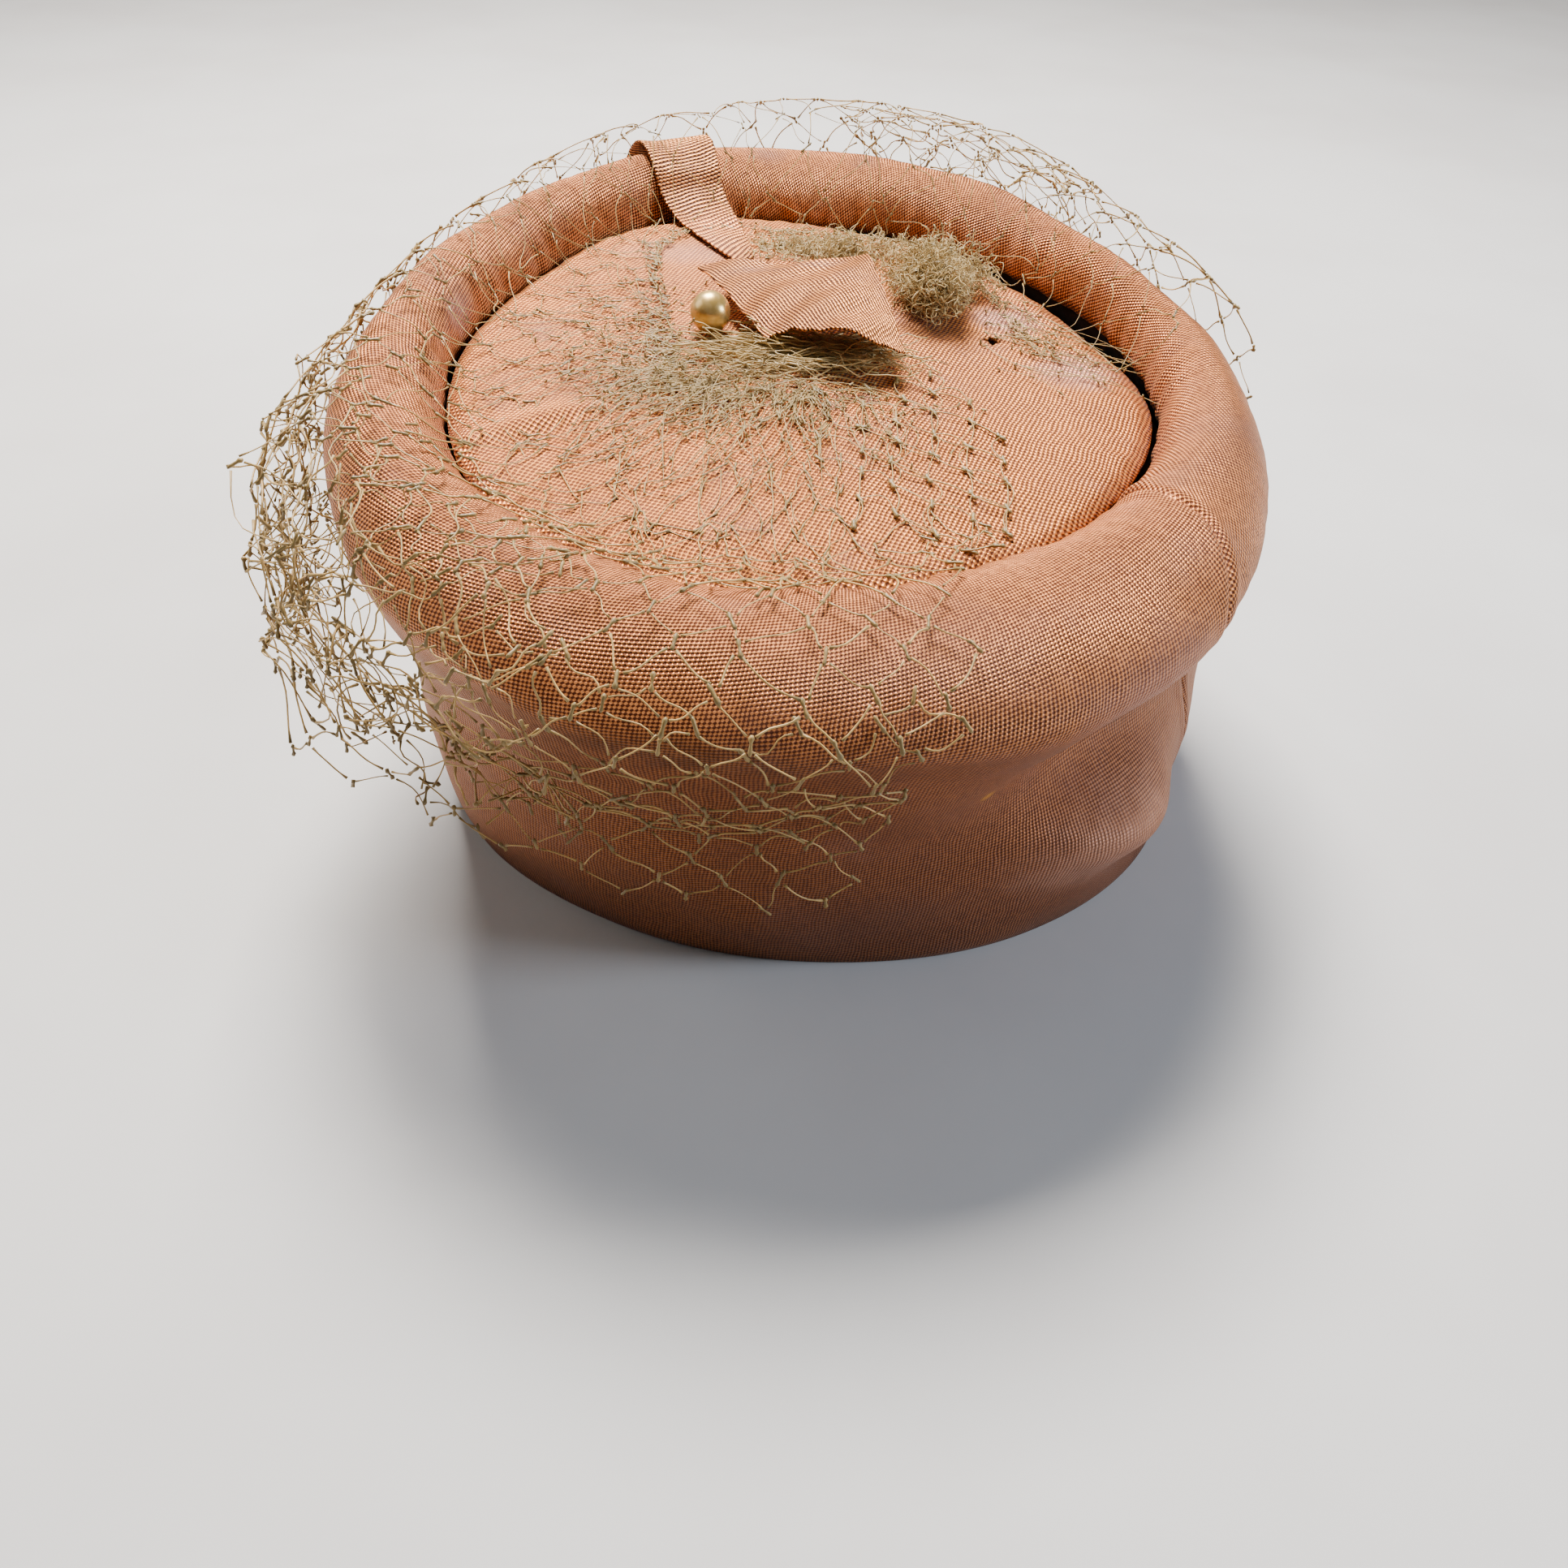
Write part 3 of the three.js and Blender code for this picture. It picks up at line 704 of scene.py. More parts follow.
@dataclass(frozen=True)
class SilkFinish:
    """Shot silk in plain weave: bright warp floats over a dark weft, with a silky lustre.

    pitch_a and pitch_b are the spacings of the two sets of threads, and normal_a and normal_b the
    directions across them in the cloth's own coordinates, or on a flat cloth from above. ribs is
    the share of ribs in the weave, soft how softly warp and weft meet, and low_shade_share how much
    of the warp the low wall loses between shade_from and shade_to, painted shade that darkens the
    wall below the roll. mottle is the share of soil, aged of old cloth in broad patches, and uneven
    how much single threads differ. Each scale is that of a noise, in lumps to the metre.
    """

    name: str
    warp: Colour
    weft: Colour
    pitch_a: float
    pitch_b: float
    normal_a: float
    normal_b: float
    flat: bool = False
    roughness: float = 0.50
    gloss: float = 0.14
    metallic: float = 0.50
    lustre: Colour = (1.0, 0.72, 0.55, 1.0)
    sheen: float = 0.08
    sheen_tint: Colour = (0.95, 0.75, 0.72, 1.0)
    ribs: float = 0.0
    soft: float = 0.35
    shows_from: float = 0.05
    wobble_scale: float = 90.0
    wobble: float = 2.2 * MM
    uneven_scale: float = 900.0
    uneven: float = 0.9
    shade_from: float = 0.088
    shade_to: float = 0.074
    low_shade_share: float = 0.0
    streak_scale: float = 34.0
    streak_shade: float = 0.80
    soil_scale: float = 70.0
    mottle: float = 0.16
    aged_scale: float = 9.0
    aged: float = 0.3
    edge_scale: float = 120.0
    slub_scale: float = 160.0
    slub_height: float = 0.4 * MM
    thread_height: float = 0.16 * MM
    # Soft patches of colour: real marks, and painted shade, shadow and highlight
    stains_and_light: tuple[StainAndLight, ...] = ()

    def across(self, board: Board, u: Socket, v: Socket, pitch: float, normal: float) -> Socket:
        """Place across one set of threads, in half turns of its wave.

        Args:
            board: The material's board.
            u: Place along the cloth.
            v: Place across the cloth.
            pitch: The threads' spacing.
            normal: The direction across them.

        Returns:
            The place.
        """
        turn = math.radians(normal)
        along = board.math("MULTIPLY", u, math.pi * math.cos(turn) / pitch)
        return board.math("MULTIPLY_ADD", v, math.pi * math.sin(turn) / pitch, along)

    def weave(self, board: Board, place: Socket) -> tuple[Socket, Socket]:
        """The weave, from two sets of threads that wander a little.

        Args:
            board: The material's board.
            place: Object coordinates.

        Returns:
            The threads' height, and how much of the warp shows, less on the low wall where shade is
            painted.
        """
        u, v, _ = board.split(place if self.flat else board.cloth())
        wobble = board.noise(place, self.wobble_scale, 2.0)
        u = board.math("ADD", u, board.math("MULTIPLY_ADD", wobble, self.wobble, -self.wobble / 2))
        turns = self.across(board, u, v, self.pitch_a, self.normal_a)
        a = board.math("SINE", turns)
        b = board.math("SINE", self.across(board, u, v, self.pitch_b, self.normal_b))
        crossing = board.math("MULTIPLY", board.math("MULTIPLY", a, b), 1 - self.ribs)
        rib = board.math("SINE", board.math("MULTIPLY", turns, 2.0))
        crossing = board.math("MULTIPLY_ADD", rib, self.ribs, crossing)
        uneven = board.noise(place, self.uneven_scale, 1.0)
        uneven = board.math("MULTIPLY_ADD", uneven, self.uneven, -self.uneven / 2)
        weave = board.math("ADD", crossing, uneven)
        shows = board.span(weave, self.shows_from - self.soft, self.shows_from + self.soft)
        _, _, height = board.split(place)
        # Painted shade: the warp fades out on the low wall, so the wall below the roll is darker
        low = board.span(height, self.shade_from, self.shade_to, 0.0, self.low_shade_share)
        return crossing, board.math("MULTIPLY", shows, board.math("SUBTRACT", 1.0, low))

    def soiled_with_painted_light(self, board: Board, place: Socket, colour: Socket) -> Socket:
        """The cloth's colour under its soft patches of real marks and painted shade and highlight, its soil
        and its age.

        Args:
            board: The material's board.
            place: Object coordinates.
            colour: The clean cloth's colour.

        Returns:
            The colour as it shows.
        """
        # Each patch is a real mark or painted shade, shadow or highlight
        for stain_and_light in self.stains_and_light:
            edge = board.noise(place, self.edge_scale, 3.0)
            reach = board.math("ADD", edge, board.away(place, stain_and_light.centre, stain_and_light.reach))
            colour = board.mix(board.span(reach, 0.7, 1.6, stain_and_light.strength, 0.0), colour, stain_and_light.colour)
        soil = board.span(board.noise(place, self.soil_scale, 5.0, 0.62), 0.50, 0.74, 0.0, self.mottle)
        colour = board.mix(soil, colour, MAUVE)
        aged = board.span(board.noise(place, self.aged_scale, 3.0, 0.5), 0.45, 0.7, 0.0, self.aged)
        return board.mix(aged, colour, DUSK)

    def material(self) -> Material:
        """Builds the material.

        Returns:
            The material.
        """
        board = Board(self.name)
        place = board.place()
        crossing, shows = self.weave(board, place)
        streak = board.span(board.noise(place, self.streak_scale, 4.0, 0.6), 0.35, 0.7)
        shaded = tuple(self.streak_shade * part for part in self.warp[:3]) + (1.0,)
        colour = board.mix(shows, self.weft, board.mix(streak, self.warp, shaded))
        inputs = board.shader.inputs
        board.link(self.soiled_with_painted_light(board, place, colour), inputs["Base Color"])
        board.link(board.math("MULTIPLY_ADD", shows, -self.gloss, self.roughness), inputs["Roughness"])
        board.set(Metallic=self.metallic, Specular_IOR_Level=0.4, Specular_Tint=self.lustre)
        board.set(Sheen_Weight=self.sheen, Sheen_Roughness=0.35, Sheen_Tint=self.sheen_tint)
        slub = board.bump(board.noise(place, self.slub_scale), self.slub_height, 0.25)
        board.link(board.bump(crossing, self.thread_height, 0.85, slub), inputs["Normal"])
        return board.material


@dataclass(frozen=True)
class NetFinish:
    """Knotted net thread: pale olive gold along the threads, darker and greener in the knots."""

    name: str
    thread: Colour = (0.56, 0.34, 0.105, 1.0)
    knot: Colour = (0.19, 0.125, 0.035, 1.0)
    roughness: float = 0.48
    sheen: float = 0.15
    sheen_tint: Colour = (0.9, 0.7, 0.4, 1.0)
    patch_scale: float = 260.0
    patches: float = 0.35
    fibre_scale: float = 2600.0

    def material(self) -> Material:
        """Builds the material.

        Returns:
            The material.
        """
        board = Board(self.name)
        inputs = board.shader.inputs
        place = board.place()
        patches = board.span(board.noise(place, self.patch_scale, 2.0), 0.35, 0.7, 0.0, self.patches)
        share = board.math("ADD", board.tone(), patches, clamp=True)
        board.link(board.mix(share, self.thread, self.knot), inputs["Base Color"])
        board.set(Roughness=self.roughness, Sheen_Weight=self.sheen, Sheen_Tint=self.sheen_tint)
        fibres = board.noise(place, self.fibre_scale, 2.0)
        board.link(board.bump(fibres, 0.1 * MM, 0.6), inputs["Normal"])
        return board.material


@dataclass(frozen=True)
class PearlFinish:
    """A pale gold pearl with a soft metallic lustre."""

    name: str = "pearl_lustre"
    colour: Colour = (0.52, 0.33, 0.09, 1.0)
    pale: Colour = (0.70, 0.49, 0.19, 1.0)
    metallic: float = 0.65
    roughness: float = 0.30
    coat: float = 0.35
    coat_roughness: float = 0.12
    cloud_scale: float = 420.0

    def material(self) -> Material:
        """Builds the material.

        Returns:
            The material.
        """
        board = Board(self.name)
        inputs = board.shader.inputs
        cloud = board.noise(board.place(), self.cloud_scale)
        colour = board.mix(board.span(cloud, 0.35, 0.7), self.colour, self.pale)
        board.link(colour, inputs["Base Color"])
        board.set(Metallic=self.metallic, Roughness=self.roughness)
        board.set(Coat_Weight=self.coat, Coat_Roughness=self.coat_roughness)
        board.link(board.bump(cloud, 0.05 * MM, 0.2), inputs["Normal"])
        return board.material


@dataclass(frozen=True)
class PlainFinish:
    """A plain matt finish with a little unevenness, for a hidden cloth, the floor, or the near-black
    painted shade of the crease.
    """

    name: str
    colour: Colour
    roughness: float = 0.85
    scale: float = 60.0
    unevenness: float = 0.12
    grain_share: float = 30.0

    def material(self) -> Material:
        """Builds the material.

        Returns:
            The material.
        """
        board = Board(self.name)
        inputs = board.shader.inputs
        place = board.place()
        share = board.span(board.noise(place, self.scale, 4.0), 0.3, 0.75, 0.0, self.unevenness)
        board.link(board.mix(share, self.colour, DUSK), inputs["Base Color"])
        board.set(Roughness=self.roughness)
        grain = board.noise(place, self.scale * self.grain_share)
        board.link(board.bump(grain, 0.1 * MM, 0.3), inputs["Normal"])
        return board.material


class Slot(Enum):
    """Kinds of material of the pieces."""

    SILK = "silk"
    RIBBON = "ribbon"
    NET = "net"
    PEARL = "pearl"


def hand_in(piece: Piece, slot: Slot, *nodes: str) -> Piece:
    """Makes a piece ride with the hat, hides the nodes it stands for, and reports it.

    Args:
        piece: The piece.
        slot: Not used.
        nodes: The nodes it stands for.

    Returns:
        The same piece.
    """
    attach(piece, "root")
    if nodes:
        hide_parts(*nodes)
    LOG.info("%s: %d faces", piece.name, len(piece.data.polygons))
    return piece


class WallFold(NamedTuple):
    """A crisp fold of the cloth on the wall: its push, its middle, its reach and its half width.

    low and high are an angle and a height on the line that it follows.
    """

    push: float
    at: float
    reach: float
    half: float
    low: Pair
    high: Pair


WALL_FOLDS = (
    WallFold(push=-0.0050, at=318.0, reach=17.0, half=0.0090, low=(303.0, 0.0535), high=(328.0, 0.0480)),
    WallFold(push=0.0050, at=313.0, reach=13.0, half=0.0090, low=(304.0, 0.0310), high=(319.0, 0.0290)),
)


class RingPart(Enum):
    """Parts of the side band's section."""

    WALL = "wall"
    ROLL = "roll"
    INSIDE = "inside"


class Ring(NamedTuple):
    """One ring of the side band's section: its part, and its place as a turn or a share."""

    part: RingPart
    place: float


@dataclass
class SideBand:
    """The wall, the padded roll over its top and the roll's inside, as one silk covered ring."""

    columns: int = 400
    wall_rings: int = 34
    roll_rings: int = 52
    inner_rings: int = 12
    roll_end: float = 285.0
    inner_start: float = 0.17
    crease_from: float = 186.0
    undercut: float = 0.0026
    undercut_turns: tuple[float, float, float, float] = (178.0, 200.0, 235.0, 262.0)
    undercut_gaps: Pair = (0.02, 0.07)
    seam_half: float = 0.0007
    seam_depth: float = 0.0007
    ridge_away: float = 2.4 * MM
    ridge_half: float = 1.8 * MM
    back_seam: float = 108.0
    back_columns: int = 7
    back_clear: float = 1.8
    close_from: float = 318.0
    close_to: float = 341.0
    close_step: float = 0.22
    close_clear: float = 0.3
    sway: float = 0.35 * MM
    sway_size: Pair = (0.045, 0.035)
    tuck: float = 0.32 * MM
    tuck_least: float = 0.06 * MM
    tuck_size: Pair = (0.007, 0.05)
    tuck_turns: Pair = (100.0, 165.0)
    cloth_radius: float = 0.100
    panel_turn: float = 24.0

    def angles(self) -> Array:
        """Places of the ring's columns, closer together near the seams.

        Returns:
            The places, in order round the crown.
        """
        even = np.arange(self.columns) * 360.0 / self.columns
        close = np.arange(self.close_from, self.close_to, self.close_step)
        behind = self.back_seam + np.arange(-self.back_columns, self.back_columns + 1) * self.close_step
        beside = (even <= close[0] - self.close_clear) | (even >= close[-1] + self.close_clear)
        rest = even[beside & (np.abs(even - self.back_seam) > self.back_clear)]
        return np.sort(np.concatenate([rest, close, behind]))

    def rings(self) -> list[Ring]:
        """The section's rings, from the rim up over the roll and down the inside to the rim.

        Returns:
            The rings.
        """
        wall = np.linspace(1, 0, self.wall_rings + 1)[:-1]
        roll = np.linspace(FORM.wall_leaves, self.roll_end, self.roll_rings)
        inside = np.linspace(self.inner_start, 1.0, self.inner_rings)
        parts = ((RingPart.WALL, wall), (RingPart.ROLL, roll), (RingPart.INSIDE, inside))
        return [Ring(part, place) for part, places in parts for place in places]

    @staticmethod
    def seam_angle(ring: Ring) -> float:
        """Where the seam crosses a ring.

        Args:
            ring: The ring.

        Returns:
            The angle round the crown.
        """
        if ring.part is RingPart.ROLL:
            return float(np.interp(ring.place, SEAM_TURNS, SEAM_ROUND_ROLL))
        return float(np.interp(ring.place, SEAM_SHARES, SEAM_DOWN_WALL))

    def seam_relief(self, away: Array) -> Array:
        """Height of the cloth beside a seam, at a distance from it: a groove between soft ridges."""
        groove = -self.seam_depth * np.exp(-((away / self.seam_half) ** 2))
        return groove + 0.5 * self.seam_depth * np.exp(-(((away - self.ridge_away) / self.ridge_half) ** 2))

    @staticmethod
    def folds(ring: Ring, angle: Array) -> Array:
        """How far the wall's crisp folds stand out of it.

        Args:
            ring: A ring of the wall.
            angle: Places round the crown.

        Returns:
            The distance for each place.
        """
        height = FORM.wall_point(angle, ring.place)[..., 2]
        lift = np.zeros(angle.shape)
        for fold in WALL_FOLDS:
            level = np.interp(angle, *zip(fold.low, fold.high))
            across = np.exp(-(((height - level) / fold.half) ** 2))
            lift = lift + fold.push * across * np.exp(-(((angle - fold.at) / fold.reach) ** 2))
        return lift

    def relief(self, ring: Ring, angle: Array, down: Array) -> Array:
        """Small forms of the cloth: seams, tucks at the crease, and the hollow beside the top panel.

        Args:
            ring: A ring of the section.
            angle: Places round the crown.
            down: Ways along the section from the crest.

        Returns:
            How far the cloth stands out of the plain form.
        """
        if ring.part is RingPart.INSIDE:
            return -self.folds(ring, angle)
        seam = np.abs(np.radians(angle - self.seam_angle(ring)) * self.cloth_radius)
        behind = np.abs(np.radians(angle - self.back_seam) * self.cloth_radius)
        lift = self.seam_relief(seam) + self.seam_relief(behind)
        place = np.stack([np.radians(angle) * self.cloth_radius, down], -1)
        lift = lift + self.sway * waves(place / self.sway_size, 5)
        if ring.part is RingPart.WALL:
            at_rim = ring.place == 1
            return 0 * lift if at_rim else lift + self.folds(ring, angle)
        tucked = smooth_step(ring.place, *self.tuck_turns)
        lift = lift + (self.tuck * tucked + self.tuck_least) * waves(place / self.tuck_size, 3)
        gap = round_table([s.gap for s in STATIONS], angle)
        first, full, least, last = self.undercut_turns
        deep = smooth_step(ring.place, first, full) * smooth_step(-ring.place, -last, -least)
        return lift - self.undercut * deep * smooth_step(gap, *self.undercut_gaps)

    def build(self, silk: Material, inside: Material, shade: Material) -> Piece:
        """Builds the ring.

        Args:
            silk: Finish of the outside.
            inside: Finish of the hollow's wall.
            shade: Near-black finish of the deep crease, painted shade.

        Returns:
            The piece.
        """
        angle = self.angles()
        rings = self.rings()
        rows = []
        for ring in rings:
            if ring.part is RingPart.ROLL:
                rows.append(FORM.roll(angle, ring.place))
            else:
                proud = -FORM.wall if ring.part is RingPart.INSIDE else 0.0
                rows.append(FORM.wall_point(angle, ring.place, proud))
        points = np.stack(rows)
        crest = next(k for k, ring in enumerate(rings) if ring.part is RingPart.ROLL and ring.place > 180)
        steps = np.linalg.norm(np.diff(points, axis=0), axis=-1)
        down = np.concatenate([np.zeros((1, len(angle))), np.cumsum(steps, axis=0)])
        down = down[crest] - down
        ways = np.roll(points, -1, axis=1) - np.roll(points, 1, axis=1)
        normals = unit(np.cross(ways, np.gradient(points, axis=0)))
        lift = np.stack([self.relief(ring, angle, down[k]) for k, ring in enumerate(rings)])
        points = points + normals * lift[..., None]
        count = len(angle)
        faces = []
        index = []
        for row, ring in enumerate(rings):
            lower, upper = row * count, (row + 1) % len(rings) * count
            # Roll faces past crease_from take the near-black finish: painted shade in the crease
            deep = ring.part is RingPart.ROLL and ring.place > self.crease_from
            finish = 1 if ring.part is RingPart.INSIDE else 2 * int(deep)
            for column in range(count):
                after = (column + 1) % count
                faces.append((lower + column, lower + after, upper + after, upper + column))
                index.append(finish)
        piece = mesh_object("side_band_silk", points.reshape(-1, 3), faces, silk)
        piece.data.materials.append(inside)
        piece.data.materials.append(shade)
        piece.data.polygons.foreach_set("material_index", index)
        self.lay_cloth(piece, rings, angle, down)
        return piece

    def lay_cloth(self, piece: Piece, rings: list[Ring], angle: Array, down: Array) -> None:
        """Sets the UV map face by face, so that the weave changes its direction at the seams.

        Args:
            piece: The ring.
            rings: The section's rings.
            angle: Places of its columns.
            down: Ways along the section from the crest, by ring and column.
        """
        rows, columns = down.shape
        row = np.repeat(np.arange(rows), columns)
        column = np.tile(np.arange(columns), rows)
        after = (column + 1) % columns
        start = angle[column]
        end = np.where(after == 0, angle[0] + 360.0, angle[after])
        upper = (row + 1) % rows
        seam = np.array([self.seam_angle(ring) for ring in rings])[row]
        middle = (start + end) / 2
        past = (middle > seam) | (middle < self.back_seam)
        turn = np.radians(np.where(past, self.panel_turn, 0.0))
        coordinates = []
        corners = ((start, row, column), (end, row, after), (end, upper, after), (start, upper, column))
        for where, level, place in corners:
            along = np.radians(where) * self.cloth_radius
            fall = down[level, place]
            u = along * np.cos(turn) - fall * np.sin(turn)
            v = along * np.sin(turn) + fall * np.cos(turn)
            coordinates.append(np.stack([u, v], -1))
        layer = piece.data.uv_layers.new(name="cloth")
        flat = np.stack(coordinates, 1).reshape(-1, 2)
        layer.data.foreach_set("uv", flat.astype(np.float32).ravel())


@dataclass
class TopPanel:
    """The sunken top panel, domed and puckered, with a small ragged tear."""

    rings: int = 56
    sides: int = 240
    thickness: float = 0.0008
    tear_side: float = 0.42
    tear_back: float = 0.24
    tear_length: float = 0.0048
    edge_drop: float = 0.0014
    gap_drop: float = 0.0030
    gap_shares: Pair = (0.05, 0.12)
    ripple: float = 0.22 * MM
    ripple_size: Pair = (0.030, 0.022)
    pucker: float = 0.16 * MM
    pucker_size: float = 0.007
    pucker_radius: float = 0.075
    fold_start: Pair = (-0.074, -0.030)
    fold_end: Pair = (-0.040, -0.010)
    fold_half: float = 0.0034
    fold_height: float = 0.0011
    tear_x: tuple[float, ...] = (-0.50, -0.15, 0.02, 0.22, 0.50, 0.30, 0.16, -0.10)
    tear_y: tuple[float, ...] = (0.16, -0.10, -0.52, -0.24, -0.08, 0.16, 0.44, 0.24)

    @property
    def tear_place(self) -> Pair:
        """Where the tear is, about the hat's own origin."""
        return self.tear_side * FORM.width / 2, self.tear_back * FORM.depth / 2

    def surface(self, angle: Array, share: Array) -> Array:
        """Upper side of the panel, with the cloth's small puckers, turned down at its edge.

        Args:
            angle: Places round the crown.
            share: How far out on the panel, from 0 to 1.

        Returns:
            The points, three coordinates each.
        """
        point = FORM.tip_edge(angle, share)
        around = np.radians(angle) * self.pucker_radius / self.pucker_size
        puckers = waves(np.stack([around, share * 2], -1), 12) * smooth_step(share, 0.80, 0.97)
        lift = self.ripple * waves(point[..., :2] / self.ripple_size, 11) + self.pucker * puckers
        gap = smooth_step(round_table([s.gap for s in STATIONS], angle), *self.gap_shares)
        drop = self.edge_drop * smooth_step(share, 0.955, 1.0)
        drop = drop + self.gap_drop * gap * smooth_step(share, 0.88, 1.0)
        point[..., 2] += lift - drop + self.fold(point)
        return point

    def fold(self, point: Array) -> Array:
        """Height of the soft fold that runs in from the panel's left edge.

        Args:
            point: Points of the panel.

        Returns:
            The fold's height at each of them.
        """
        start, end = np.array(self.fold_start), np.array(self.fold_end)
        length = np.linalg.norm(end - start)
        way = (end - start) / length
        side, back = point[..., 0] - start[0], point[..., 1] - start[1]
        along = (side * way[0] + back * way[1]) / length
        across = (back * way[0] - side * way[1]) / self.fold_half
        ends = smooth_step(along, -0.35, 0.1) * (1 - smooth_step(along, 0.5, 1.3))
        return self.fold_height * ends * np.exp(-(across**2)) * (1 + across)

    def build(self, silk: Material) -> Piece:
        """Builds the panel and cuts its tear.

        Args:
            silk: Its finish.

        Returns:
            The piece.
        """
        angle = np.arange(self.sides) * 360.0 / self.sides
        shares = np.linspace(0, 1, self.rings + 1)[1:]
        grid_angle, grid_share = np.meshgrid(angle, shares)
        upper = self.surface(grid_angle, grid_share).reshape(-1, 3)
        middle = self.surface(np.array([0.0]), np.array([0.0]))
        top = np.concatenate([middle, upper])
        faces = [(0, 1 + k, 1 + (k + 1) % self.sides) for k in range(self.sides)]
        for ring in range(self.rings - 1):
            for k in range(self.sides):
                inner = 1 + ring * self.sides
                outer = inner + self.sides
                after = (k + 1) % self.sides
                faces.append((inner + k, outer + k, outer + after, inner + after))
        piece = mesh_object("tip_silk", top, faces, silk)
        body = piece.modifiers.new("body", "SOLIDIFY")
        body.thickness = self.thickness
        body.offset = -1.0
        self.cut_tear(piece)
        return piece

    def cut_tear(self, piece: Piece) -> None:
        """Cuts the ragged hole through the panel.

        Args:
            piece: The panel.
        """
        x, y = self.tear_place
        z = float(FORM.tip_height(np.array(x), np.array(y)))
        corners = zip(self.tear_x, self.tear_y)
        ring = [(x + a * self.tear_length, y + b * self.tear_length) for a, b in corners]
        reach = 4 * self.thickness
        points = [(px, py, z - reach) for px, py in ring] + [(px, py, z + reach) for px, py in ring]
        count = len(ring)
        faces = [tuple(reversed(range(count))), tuple(range(count, 2 * count))]
        faces += [(k, (k + 1) % count, count + (k + 1) % count, count + k) for k in range(count)]
        cutter = mesh_object("tear_cutter", np.array(points), faces, piece.data.materials[0])
        cut = piece.modifiers.new("tear", "BOOLEAN")
        cut.operation = "DIFFERENCE"
        cut.object = cutter
        apply_modifiers(piece)
        bpy.data.objects.remove(cutter)


class Tubes:
    """Thin round strands gathered into one mesh, each with a tone for its finish."""

    def __init__(self, sides: int = 4) -> None:
        """Starts with no strands.

        Args:
            sides: Sides of each strand's section.
        """
        self.sides = sides
        self.points: list[Array] = []
        self.tones: list[Array] = []
        self.faces: list[tuple[int, ...]] = []
        self.count = 0

    def add(self, paths: Array, radii: Array, normals: Array, tones: Array) -> None:
        """Adds strands that have as many points each.

        Args:
            paths: Strands by points by three coordinates.
            radii: Strands by points.
            normals: One direction for each strand, roughly across it.
            tones: Strands by points.
        """
        strands, steps = paths.shape[:2]
        along = unit(np.gradient(paths, axis=1))
        side = unit(np.cross(along, normals[:, None, :]))
        up = np.cross(side, along)
        turn = 2 * np.pi * np.arange(self.sides) / self.sides
        ring = side[:, :, None, :] * np.cos(turn)[None, None, :, None]
        ring = ring + up[:, :, None, :] * np.sin(turn)[None, None, :, None]
        points = paths[:, :, None, :] + ring * radii[:, :, None, None]
        self.points.append(points.reshape(-1, 3))
        self.tones.append(np.repeat(tones.reshape(-1), self.sides))
        base = self.count + np.arange(strands * steps * self.sides).reshape(strands, steps, self.sides)
        here, ahead = base[:, :-1], base[:, 1:]
        around = np.roll(here, -1, axis=2), np.roll(ahead, -1, axis=2)
        quads = np.stack([here, around[0], around[1], ahead], -1).reshape(-1, 4)
        self.faces += list(map(tuple, quads.tolist()))
        self.faces += [tuple(row) for row in base[:, 0, ::-1].tolist()]
        self.faces += [tuple(row) for row in base[:, -1].tolist()]
        self.count += strands * steps * self.sides

    def build(self, name: str, finish: Material) -> Piece:
        """Builds one piece from all strands.

        Args:
            name: The piece's name.
            finish: Its finish.

        Returns:
            The piece.
        """
        piece = mesh_object(name, np.concatenate(self.points), self.faces, finish)
        set_tone(piece, np.concatenate(self.tones))
        return piece


BOW = (-0.002, 0.021)


